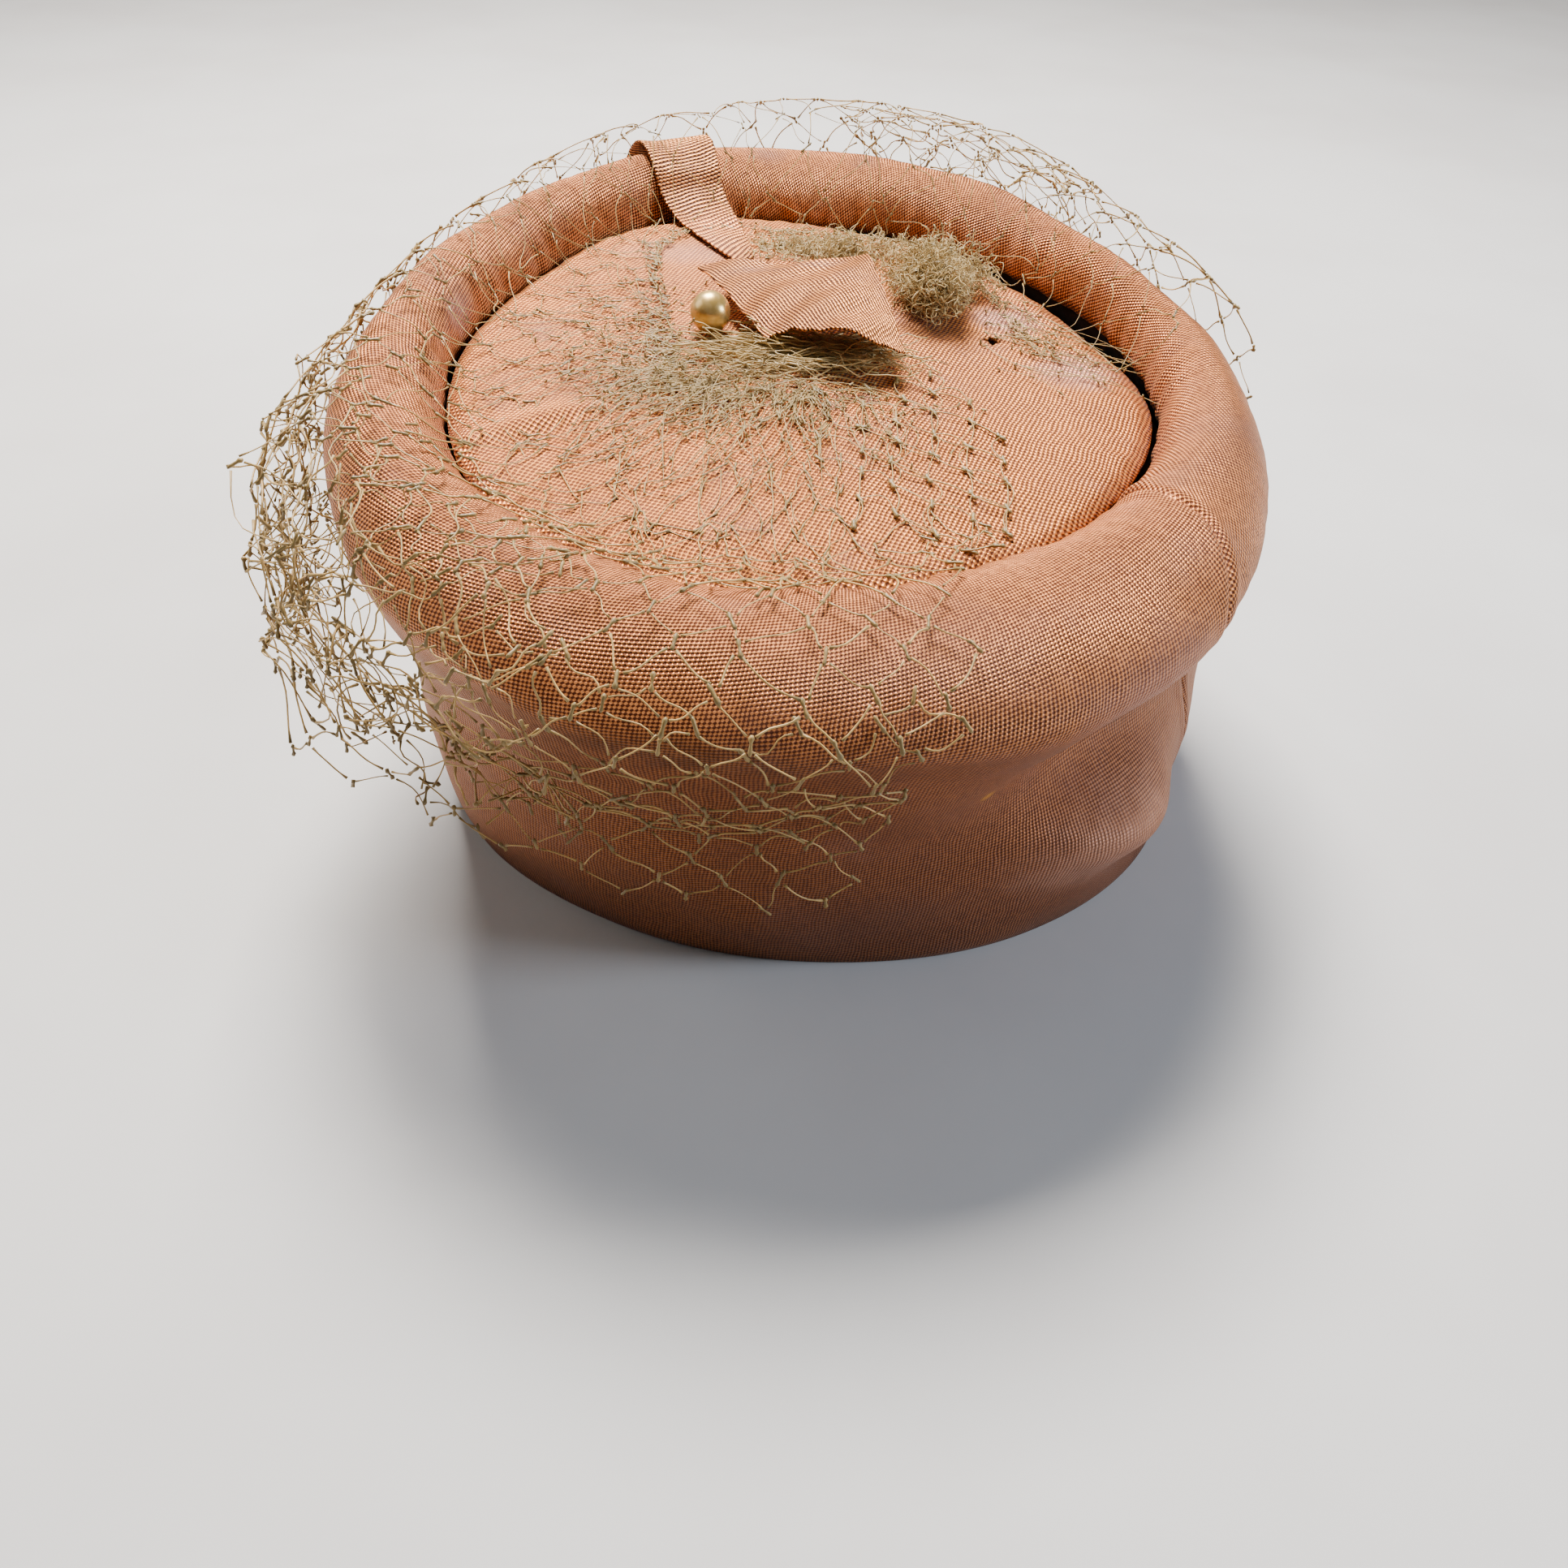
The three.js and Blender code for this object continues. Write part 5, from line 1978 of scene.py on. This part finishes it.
@dataclass
class NetBunches:
    """The gathered net under the bow and its crumpled end beside it, as bare strands."""

    steps: int = 13
    knot_share: int = 5
    knot_length: float = 0.7 * MM
    knot_radius: float = 0.26 * MM
    bunch_clear: float = 0.5 * MM
    fan_clear: float = 0.6 * MM
    open_clear: float = 0.7 * MM
    open_rise: float = 0.8 * MM
    open_legs: float = 1.8
    open_knot_clear: float = 0.75 * MM
    open_knot_length: float = 0.95 * MM
    open_bow: float = 0.16
    nearly_up: Place = (0.05, 0.05, 1.0)
    spin: float = 0.9
    curl: float = 0.55
    wander: float = 0.45
    drift: float = 0.25
    pull: float = 0.6
    fan_sway: float = 0.35

    def ups(self, count: int) -> Array:
        """Directions almost straight up, one for each strand."""
        return unit(np.tile(np.array([self.nearly_up]), (count, 1)))

    def curls(self, bunch: Bunch, dice: Dice) -> Array:
        """Curled strands that wander within a bunch's box, fewer towards its outside.

        Args:
            bunch: The bunch.
            dice: Random numbers.

        Returns:
            Strands by points by three coordinates.
        """
        low, high = np.array(bunch.low), np.array(bunch.high)
        centre, half = (low + high) / 2, (high - low) / 2
        count = (bunch.count, 1)
        reach = dice.uniform(0.45, 1.0, count) ** 0.6
        place = unit(dice.normal(size=(bunch.count, 3))) * reach * dice.uniform(0.2, 1.0, count)
        heading = unit(dice.normal(size=(bunch.count, 3)) + np.array(bunch.way))
        spin = dice.normal(size=(bunch.count, 3)) * self.spin
        path = [place]
        for _ in range(self.steps - 1):
            turned = heading + self.curl * np.cross(spin, heading)
            turned = turned + self.wander * dice.normal(size=(bunch.count, 3))
            outside = np.linalg.norm(place, axis=-1, keepdims=True) > reach
            heading = unit(turned + self.drift * np.array(bunch.way) - self.pull * place * outside)
            place = place + heading * bunch.stride / half
            path.append(place)
        path = np.stack(path, 1)
        path = path - path[:, self.steps // 2, None] + path[:, :1]
        return centre + path * half

    def lay_on_tip(self, paths: Array, clear: float) -> Array:
        """Paths whose points are raised to stay clear of the top panel."""
        floor = FORM.tip_height(paths[..., 0], paths[..., 1]) + clear
        return np.concatenate([paths[..., :2], np.maximum(paths[..., 2], floor)[..., None]], -1)

    def add(self, tubes: Tubes, bunch: Bunch) -> None:
        """Adds a bunch's strands and small knots.

        Args:
            tubes: The strands.
            bunch: The bunch.
        """
        dice = np.random.default_rng(bunch.seed)
        paths = self.lay_on_tip(self.curls(bunch, dice), self.bunch_clear)
        radii = bunch.thread * dice.uniform(0.7, 1.3, (len(paths), 1)) * np.ones((1, self.steps))
        tones = dice.uniform(0, 0.25, (len(paths), 1)) * np.ones((1, self.steps))
        tubes.add(paths, radii, unit(dice.normal(size=(len(paths), 3))), tones)
        some = paths[:: self.knot_share, :: self.knot_share].reshape(-1, 3)
        self.add_knots(tubes, some, dice)

    def add_knots(self, tubes: Tubes, places: Array, dice: Dice) -> None:
        """Adds small knots at places, each in its own direction.

        Args:
            tubes: The strands.
            places: The knots' places.
            dice: Random numbers.
        """
        lean = unit(dice.normal(size=places.shape)) * self.knot_length
        paths = places[:, None, :] + lean[:, None, :] * np.array([-1.0, -0.6, 0.0, 0.6, 1.0])[None, :, None]
        radii = np.ones((len(places), 1)) * np.array([0.3, 1.0, 0.7, 1.0, 0.3]) * self.knot_radius
        tubes.add(paths, radii, unit(dice.normal(size=places.shape)), 0.6 + 0 * paths[..., 0])

    def add_fan(self, tubes: Tubes, fan: Fan) -> None:
        """Adds loose strands that run out over the top panel, with a few knots on them.

        Args:
            tubes: The strands.
            fan: The loose strands' form.
        """
        dice = np.random.default_rng(fan.seed)
        count = (fan.count, 1)
        begin = np.array(fan.start) + dice.normal(size=(fan.count, 2)) * np.array(fan.spread)
        turn = np.radians(dice.uniform(fan.turn_from, fan.turn_to, count))
        bend = dice.normal(size=count) * fan.bend
        share = np.linspace(0, 1, self.steps)[None, :]
        length = dice.uniform(0.4, 1.0, count) * fan.length
        sway = self.fan_sway * dice.normal(size=count)
        heading = turn + bend * (share - 0.3) + sway * np.sin(5 * share + 6 * dice.uniform(size=count))
        step = length / (self.steps - 1)
        x = begin[:, :1] + np.cumsum(np.cos(heading) * step, 1)
        y = begin[:, 1:] + np.cumsum(np.sin(heading) * step, 1)
        rise = np.abs(dice.normal(size=count)) * fan.rise * np.sin(np.pi * share) ** 2
        z = FORM.tip_height(x, y) + self.fan_clear + rise
        paths = np.stack([x, y, z], -1)
        radii = fan.thread * dice.uniform(0.7, 1.3, count) * np.ones((1, self.steps))
        tones = dice.uniform(0, 0.35, count) * np.ones((1, self.steps))
        tubes.add(paths, radii, self.ups(fan.count), tones)
        self.add_knots(tubes, paths[:, :: self.knot_share].reshape(-1, 3), dice)

    def add_open(self, tubes: Tubes, net: OpenNet) -> None:
        """Adds a stretch of open net that lies on the top panel.

        Args:
            tubes: The strands.
            net: The stretch of net.
        """
        dice = np.random.default_rng(net.seed)
        span = np.arange(-net.reach, net.reach)
        row, column = np.meshgrid(span, span, indexing="ij")
        turn = math.radians(net.turn)
        along = np.array([math.cos(turn), math.sin(turn)])
        across = np.array([-along[1], along[0]])
        side = (column + 0.5 * (row % 2)) * net.spacing
        corners = np.stack([net.outline_x, net.outline_y], -1)
        place = corners.mean(0) + row[..., None] * net.pitch * along + side[..., None] * across
        place = place + dice.normal(size=place.shape) * net.uneven
        edges = np.roll(corners, -1, axis=0) - corners
        beside = place[..., None, :] - corners
        kept = (edges[:, 0] * beside[..., 1] - edges[:, 1] * beside[..., 0] < 0).all(-1)
        share = np.linspace(0, 1, self.steps)
        paths = []
        for i, j in zip(*np.nonzero(kept)):
            for step in (0, 1):
                other = j + (step if i % 2 else step - 1)
                if i + 1 < 2 * net.reach and kept[i + 1, other]:
                    for _ in range(dice.integers(1, 3)):
                        paths.append(self.bowed(place[i, j], place[i + 1, other], dice))
        flat = np.array(paths)
        rise = self.open_rise * dice.uniform(0, 1, (len(flat), 1)) * np.sin(np.pi * share)[None, :]
        lines = self.on_tip(flat, self.open_clear + rise)
        radii = net.thread * dice.uniform(0.8, 1.2, (len(lines), 1)) * np.ones((1, self.steps))
        radii[:, [0, -1]] *= self.open_legs
        tones = dice.uniform(0.1, 0.5, (len(lines), 1)) + 0 * radii
        tubes.add(lines, radii, self.ups(len(lines)), tones)
        self.add_open_knots(tubes, net, place[kept], along, dice)

    def add_open_knots(self, tubes: Tubes, net: OpenNet, knots: Array, along: Array, dice: Dice) -> None:
        """Adds the long knots of a stretch of open net.

        Args:
            tubes: The strands.
            net: The stretch of net.
            knots: The knots' places from above.
            along: The net's own direction.
            dice: Random numbers.
        """
        reach = np.array([-1.5, -1.0, -0.35, 0.35, 1.0, 1.5]) * self.open_knot_length
        lean = unit(along + 0.35 * dice.normal(size=knots.shape))
        spots = knots[:, None, :] + lean[:, None, :] * reach[None, :, None]
        body = np.array([0.4, 1.0, 0.7, 0.7, 1.0, 0.4]) * net.knot
        radii = body * dice.uniform(0.8, 1.25, (len(knots), len(reach)))
        paths = self.on_tip(spots, self.open_knot_clear)
        tubes.add(paths, radii, self.ups(len(knots)), 0.75 + 0 * radii)

    @staticmethod
    def on_tip(flat: Array, clear: Array | float) -> Array:
        """Paths over the top panel, from their places seen from above.

        Args:
            flat: The places.
            clear: How far above the panel they are.

        Returns:
            The paths' points.
        """
        height = FORM.tip_height(flat[..., 0], flat[..., 1]) + clear
        return np.concatenate([flat, height[..., None]], -1)

    def bowed(self, start: Array, end: Array, dice: Dice) -> Array:
        """A thread between two knots on the panel, bowed to one side.

        Args:
            start: The first knot's place.
            end: The second knot's place.
            dice: Random numbers.

        Returns:
            The thread's points from above.
        """
        share = np.linspace(0, 1, self.steps)[:, None]
        way = end - start
        across = np.array([-way[1], way[0]]) * dice.normal() * self.open_bow
        return start + way * share + across * np.sin(np.pi * share)


@dataclass
class Pearl:
    """The sewn pearl, with a dimple at each end of its drilled hole."""

    segments: int = 64
    rings: int = 40
    hole: float = 0.00055
    full: float = 1.07
    forward: float = 0.0008
    hole_reach: float = 2.2
    hole_shape: Place = (0.7, 0.7, 0.93)
    lean: float = 78.0
    lean_axis: Place = (0.35, 1.0, 0.1)

    def build(self, finish: Material) -> Piece:
        """Builds the pearl from a round primitive whose two poles are pulled in.

        Args:
            finish: Its finish.

        Returns:
            The piece.
        """
        low, high = (Vector(corner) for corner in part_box("bead"))
        centre = (low + high) / 2
        radius = (high.z - low.z) / 2 * self.full
        centre += Vector((0, -self.forward, radius * (1 - 1 / self.full)))
        bpy.ops.object.select_all(action="DESELECT")
        bpy.ops.mesh.primitive_uv_sphere_add(segments=self.segments, ring_count=self.rings, radius=radius)
        piece = bpy.context.object
        piece.name = "pearl_bead"
        piece.data.materials.append(finish)
        bpy.ops.object.mode_set(mode="EDIT")
        bpy.ops.mesh.select_all(action="DESELECT")
        bpy.ops.object.mode_set(mode="OBJECT")
        for vertex in piece.data.vertices:
            vertex.select = math.hypot(vertex.co.x, vertex.co.y) < self.hole_reach * self.hole
        bpy.ops.object.mode_set(mode="EDIT")
        bpy.ops.transform.resize(value=self.hole_shape)
        bpy.ops.object.mode_set(mode="OBJECT")
        turn = Matrix.Rotation(math.radians(self.lean), 4, Vector(self.lean_axis))
        piece.data.transform(Matrix.Translation(centre) @ turn)
        piece.location = (0, 0, 0)
        bpy.ops.object.shade_smooth()
        return piece


@dataclass(frozen=True)
class Lamp:
    """A square soft light: its name, place, size, power and colour."""

    name: str
    place: Place
    size: float
    power: float
    colour: Place


@dataclass
class Studio:
    """The floor, the lights and the camera."""

    lamps: tuple[Lamp, ...] = (
        Lamp("overhead", (-0.12, 0.47, 0.96), 0.40, 48.0, (1.0, 0.96, 0.91)),
        Lamp("left", (-0.90, 0.10, 0.7), 0.6, 3.0, (1.0, 0.95, 0.9)),
        Lamp("right", (1.03, -0.20, 0.46), 0.30, 12.0, (0.74, 0.85, 1.0)),
    )
    aim: Place = (0.0, 0.0, 0.06)
    floor_size: float = 6.0
    floor_drop: float = 0.2 * MM
    sky: Colour = (0.84, 0.87, 0.92, 1.0)
    sky_strength: float = 0.12
    camera_place: Place = (-0.01292, -0.2449, 0.20614)
    forward: Place = (0.0233, 0.7325, -0.6804)
    right: Place = (0.9997, -0.0109, 0.0225)
    lens: float = 27.95
    sensor: float = 36.0

    def build_camera(self) -> None:
        """Places the camera at the picture's own angle to the hat."""
        data = bpy.data.cameras.new("view")
        data.lens = self.lens
        data.sensor_width = self.sensor
        data.clip_start = 0.01
        camera = bpy.data.objects.new("view", data)
        bpy.context.collection.objects.link(camera)
        forward = Vector(self.forward).normalized()
        right = Vector(self.right)
        right = (right - forward * right.dot(forward)).normalized()
        up = right.cross(forward)
        turn = Matrix((right, up, -forward)).transposed().to_4x4()
        camera.matrix_world = Matrix.Translation(Vector(self.camera_place) + Vector(SHIFT.tolist())) @ turn
        bpy.context.scene.camera = camera

    def light(self, lamp: Lamp) -> None:
        """Adds a light that faces the hat.

        Args:
            lamp: The light.
        """
        data = bpy.data.lights.new(lamp.name, "AREA")
        data.shape = "SQUARE"
        data.size = lamp.size
        data.energy = lamp.power
        data.color = lamp.colour
        light = bpy.data.objects.new(lamp.name, data)
        light.location = lamp.place
        way = Vector(self.aim) - Vector(lamp.place)
        light.rotation_euler = way.to_track_quat("-Z", "Y").to_euler()
        bpy.context.collection.objects.link(light)

    def build(self, floor_finish: Material) -> None:
        """Builds the floor, the lights and the camera.

        Args:
            floor_finish: The floor's finish.
        """
        bpy.ops.object.select_all(action="DESELECT")
        bpy.ops.mesh.primitive_plane_add(size=self.floor_size)
        floor = bpy.context.object
        floor.name = "floor"
        floor.location.z = -self.floor_drop
        floor.data.materials.append(floor_finish)
        world = bpy.data.worlds.new("studio")
        world.use_nodes = True
        sky = world.node_tree.nodes["Background"]
        sky.inputs["Color"].default_value = self.sky
        sky.inputs["Strength"].default_value = self.sky_strength
        bpy.context.scene.world = world
        for lamp in self.lamps:
            self.light(lamp)
        self.build_camera()


# Soft patches of the band, the panel and the ribbons, real marks and painted shade, shadow and highlight:
# centre, reach, colour and strength
BAND_STAINS_AND_LIGHT = (
    # Painted shade under the front of the roll
    StainAndLight((-0.02, -0.107, 0.0785), (0.042, 0.02, 0.0062), SHADED, 0.55),
    # Painted shade: a mauve tone where the roll turns down at the right front
    StainAndLight((0.056, -0.088, 0.08), (0.032, 0.022, 0.0095), MAUVE, 0.45),
    # Painted shade in the valley under the roll at the right front, in two patches
    StainAndLight((0.071, -0.064, 0.06), (0.022, 0.022, 0.014), VALLEY_SHADE, 0.68),
    StainAndLight((0.048, -0.093, 0.07), (0.02, 0.012, 0.008), VALLEY_SHADE, 0.45),
    # Painted highlight on the bulge of the right front wall
    StainAndLight((0.065, -0.076, 0.0275), (0.028, 0.024, 0.015), BULGE_HIGHLIGHT, 0.38),
    StainAndLight((0.0356, -0.092, 0.0533), (0.002, 0.002, 0.0016), OCHRE, 0.85),
    StainAndLight((-0.006, 0.088, 0.112), (0.007, 0.006, 0.005), DUSK, 0.55),
    StainAndLight((0.019, 0.087, 0.108), (0.006, 0.005, 0.005), DUSK, 0.5),
    StainAndLight((-0.07, 0.005, 0.102), (0.006, 0.009, 0.006), LILAC, 0.55),
    StainAndLight((-0.045, -0.062, 0.096), (0.009, 0.005, 0.006), LILAC, 0.45),
)

TIP_STAINS_AND_SHADOW = (
    # Painted shadow, near black, on the panel under the bow and the gathered net, in two patches
    StainAndLight((0.006, 0.006, 0.0945), (0.011, 0.0022, 0.01), BOW_SHADOW, 0.95),
    StainAndLight((0.016, 0.0035, 0.0945), (0.007, 0.0018, 0.01), BOW_SHADOW, 0.9),
    StainAndLight((0.064, 0.006, 0.091), (0.015, 0.009, 0.01), LILAC, 0.55),
    StainAndLight((0.05, 0.028, 0.093), (0.011, 0.009, 0.01), LILAC, 0.65),
    StainAndLight((-0.014, -0.019, 0.094), (0.0045, 0.0025, 0.01), DUSK, 0.65),
    StainAndLight((0.01, -0.013, 0.094), (0.003, 0.0022, 0.01), DUSK, 0.65),
    StainAndLight((0.015, -0.0135, 0.094), (0.0026, 0.003, 0.01), DUSK, 0.6),
    StainAndLight((0.0075, -0.0175, 0.094), (0.004, 0.003, 0.01), DUSK, 0.6),
    StainAndLight((-0.025, 0.05, 0.098), (0.02, 0.008, 0.01), LILAC, 0.35),
)

RIBBON_DARK_BAND = (
    # A darker band along the middle of the leaf, in two patches
    StainAndLight((-0.008, 0.0258, 0.103), (0.0085, 0.0024, 0.008), DUSK, 0.42),
    StainAndLight((0.007, 0.0285, 0.104), (0.009, 0.0022, 0.008), DUSK, 0.38),
)

SILK_BAND = SilkFinish(
    name="silk_band",
    warp=(0.86, 0.315, 0.098, 1.0),
    weft=(0.085, 0.017, 0.004, 1.0),
    # Painted shade on the low wall below the roll
    low_shade_share=0.6,
    pitch_a=0.47 * MM,
    pitch_b=0.62 * MM,
    normal_a=48.0,
    normal_b=130.0,
    stains_and_light=BAND_STAINS_AND_LIGHT,
)
SILK_TIP = SilkFinish(
    name="silk_tip",
    warp=(0.88, 0.32, 0.075, 1.0),
    weft=(0.12, 0.028, 0.008, 1.0),
    soft=0.5,
    pitch_a=0.636 * MM,
    pitch_b=0.70 * MM,
    normal_a=-64.0,
    normal_b=22.0,
    flat=True,
    mottle=0.25,
    stains_and_light=TIP_STAINS_AND_SHADOW,
)
RIBBON_SILK = SilkFinish(
    name="ribbon_silk",
    warp=(0.92, 0.36, 0.10, 1.0),
    weft=(0.05, 0.010, 0.003, 1.0),
    pitch_a=1.12 * MM,
    pitch_b=0.56 * MM,
    normal_a=12.0,
    normal_b=102.0,
    ribs=0.6,
    sheen=0.0,
    stains_and_light=RIBBON_DARK_BAND,
)

# Layers of each piece: name, right, left, top, hem, spacing, pitch, inward, fold, fold size, crumple,
# slack, seed and thread
VEIL_PIECES = {
    "veil_net": (NetLayer("main", 352, 6, 0.00, 1.02, 7.7, 6.85, 0.00, 1.4, 30, 0.3, 0.05, 101),),
    "veil_lining_net": (
        NetLayer("under", 276, 120, 0.02, 0.50, 9.4, 7.0, 0.20, 1.0, 20, 0.6, 0.08, 202, 0.13),
        NetLayer("hem", 288, 165, 0.64, 0.90, 8.3, 6.0, 0.45, 1.5, 16, 0.9, 0.09, 212, 0.15),
    ),
    "veil_folds": (
        NetLayer("puff", 244, 158, 0.50, 0.97, 7.5, 6.2, 0.25, 3.5, 16, 1.0, 0.13, 303),
        NetLayer("puff_inner", 240, 163, 0.52, 0.99, 7.1, 6.4, 0.50, 3.0, 14, 1.2, 0.15, 313),
        NetLayer("bunch", 84, 38, 0.34, 0.90, 7.1, 5.8, 0.15, 2.5, 12, 1.2, 0.12, 404),
        NetLayer("bunch_inner", 80, 42, 0.36, 0.86, 7.1, 5.8, 0.40, 2.5, 12, 1.4, 0.14, 414),
    ),
}

# Where each fan starts and spreads, its two directions, length, bend, rise, count and seed
FANS = (
    Fan((-0.018, -0.001), (0.008, 0.005), 150, 270, 0.038, 0.8, 0.0018, 90, 61),
    Fan((0.004, -0.006), (0.010, 0.003), 185, 300, 0.024, 0.8, 0.0014, 40, 62),
    Fan((-0.010, -0.004), (0.012, 0.003), 165, 200, 0.030, 0.5, 0.0022, 60, 65),
    Fan((0.040, 0.026), (0.003, 0.007), -38, -8, 0.036, 0.4, 0.0008, 26, 63),
    Fan((-0.034, 0.012), (0.012, 0.014), 0, 360, 0.018, 1.2, 0.0016, 45, 64),
)

OPEN_NET = OpenNet(
    outline_x=(0.019, 0.031, 0.040, 0.040, 0.036, 0.024, 0.002, -0.003, 0.005),
    outline_y=(0.012, -0.001, -0.020, -0.040, -0.051, -0.057, -0.050, -0.020, 0.0),
    turn=-62.0,
    spacing=0.0088,
    pitch=0.0066,
    uneven=0.0007,
    thread=0.00012,
    knot=0.00056,
    seed=71,
)

# Flat mats of net behind the tuft: box, count, way, thread, stride and seed
MATS = (
    Bunch((-0.026, 0.052, 0.0965), (0.034, 0.076, 0.1010), 330, (0.0, 0.0, 0.0), 0.00009, 0.0013, 53),
    Bunch((0.014, 0.034, 0.0930), (0.046, 0.064, 0.1050), 420, (0.0, 0.0, 0.0), 0.00009, 0.0013, 54),
)


def node_box(name: str) -> tuple[Place, Place]:
    """A node's box about the hat's own origin."""
    low, high = (np.array(corner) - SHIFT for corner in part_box(name))
    return tuple(low.tolist()), tuple(high.tolist())


def build_bunches(finish: Material, net: Material) -> None:
    """Builds the gathered net, the tuft, the loose strands round them and the open net beside them.

    Args:
        finish: Finish of the fluffy net.
        net: Finish of the open net.
    """
    maker = NetBunches()
    low, high = node_box("net_gather")
    gather = Tubes(4)
    maker.add(gather, Bunch(low, high, 230, (7.0, -0.4, 0.0), 0.00013, 0.0023, 51))
    for fan in FANS:
        maker.add_fan(gather, fan)
    hand_in(gather.build("gathered_net", finish), Slot.NET, "net_gather")
    low, high = node_box("net_tuft")
    tuft = Tubes(3)
    maker.add(tuft, Bunch(low, high, 900, (0.0, 0.0, 0.0), 0.00009, 0.0013, 52))
    for mat in MATS:
        maker.add(tuft, mat)
    hand_in(tuft.build("net_tuft_strands", finish), Slot.NET, "net_tuft")
    open_net = Tubes(4)
    maker.add_open(open_net, OPEN_NET)
    hand_in(open_net.build("veil_open_net", net), Slot.NET, "veil")


def main() -> None:
    """Builds the hat piece by piece, then the studio round it."""
    logging.basicConfig(level=logging.INFO, format="%(name)s: %(message)s")
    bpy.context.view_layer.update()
    silk = SILK_BAND.material()
    silk_tip = SILK_TIP.material()
    ribbon = RIBBON_SILK.material()
    net = NetFinish("net_thread").material()
    inside = PlainFinish("inner_cloth", (0.20, 0.12, 0.08, 1.0)).material()
    # Near-black finish of the deep crease: painted shade
    shade = PlainFinish("crease_shade", (0.012, 0.008, 0.007, 1.0)).material()

    band = hand_in(SideBand().build(silk, inside, shade), Slot.SILK, "side_band")
    hand_in(TopPanel().build(silk_tip), Slot.SILK, "tip")
    ribbons = Ribbons()
    strap = hand_in(ribbons.strap(ribbon), Slot.RIBBON, "ribbon_strap")
    leaf = hand_in(ribbons.leaf(ribbon), Slot.RIBBON, "ribbon_leaf")
    hand_in(Pearl().build(PearlFinish().material()), Slot.PEARL, "bead")
    build_bunches(NetFinish("net_fluff", thread=(0.54, 0.37, 0.14, 1.0)).material(), net)
    form = VeilSheet()
    veil = NetVeil(Sheet(form), Sheet(VeilSheet(ease=0.15)), form)
    for name, layers in VEIL_PIECES.items():
        hand_in(veil.build(name, layers, net), Slot.NET, "veil")

    Studio().build(PlainFinish("floor_paint", (0.56, 0.55, 0.54, 1.0), 0.9, 8.0).material())


if __name__ == "__main__":
    main()
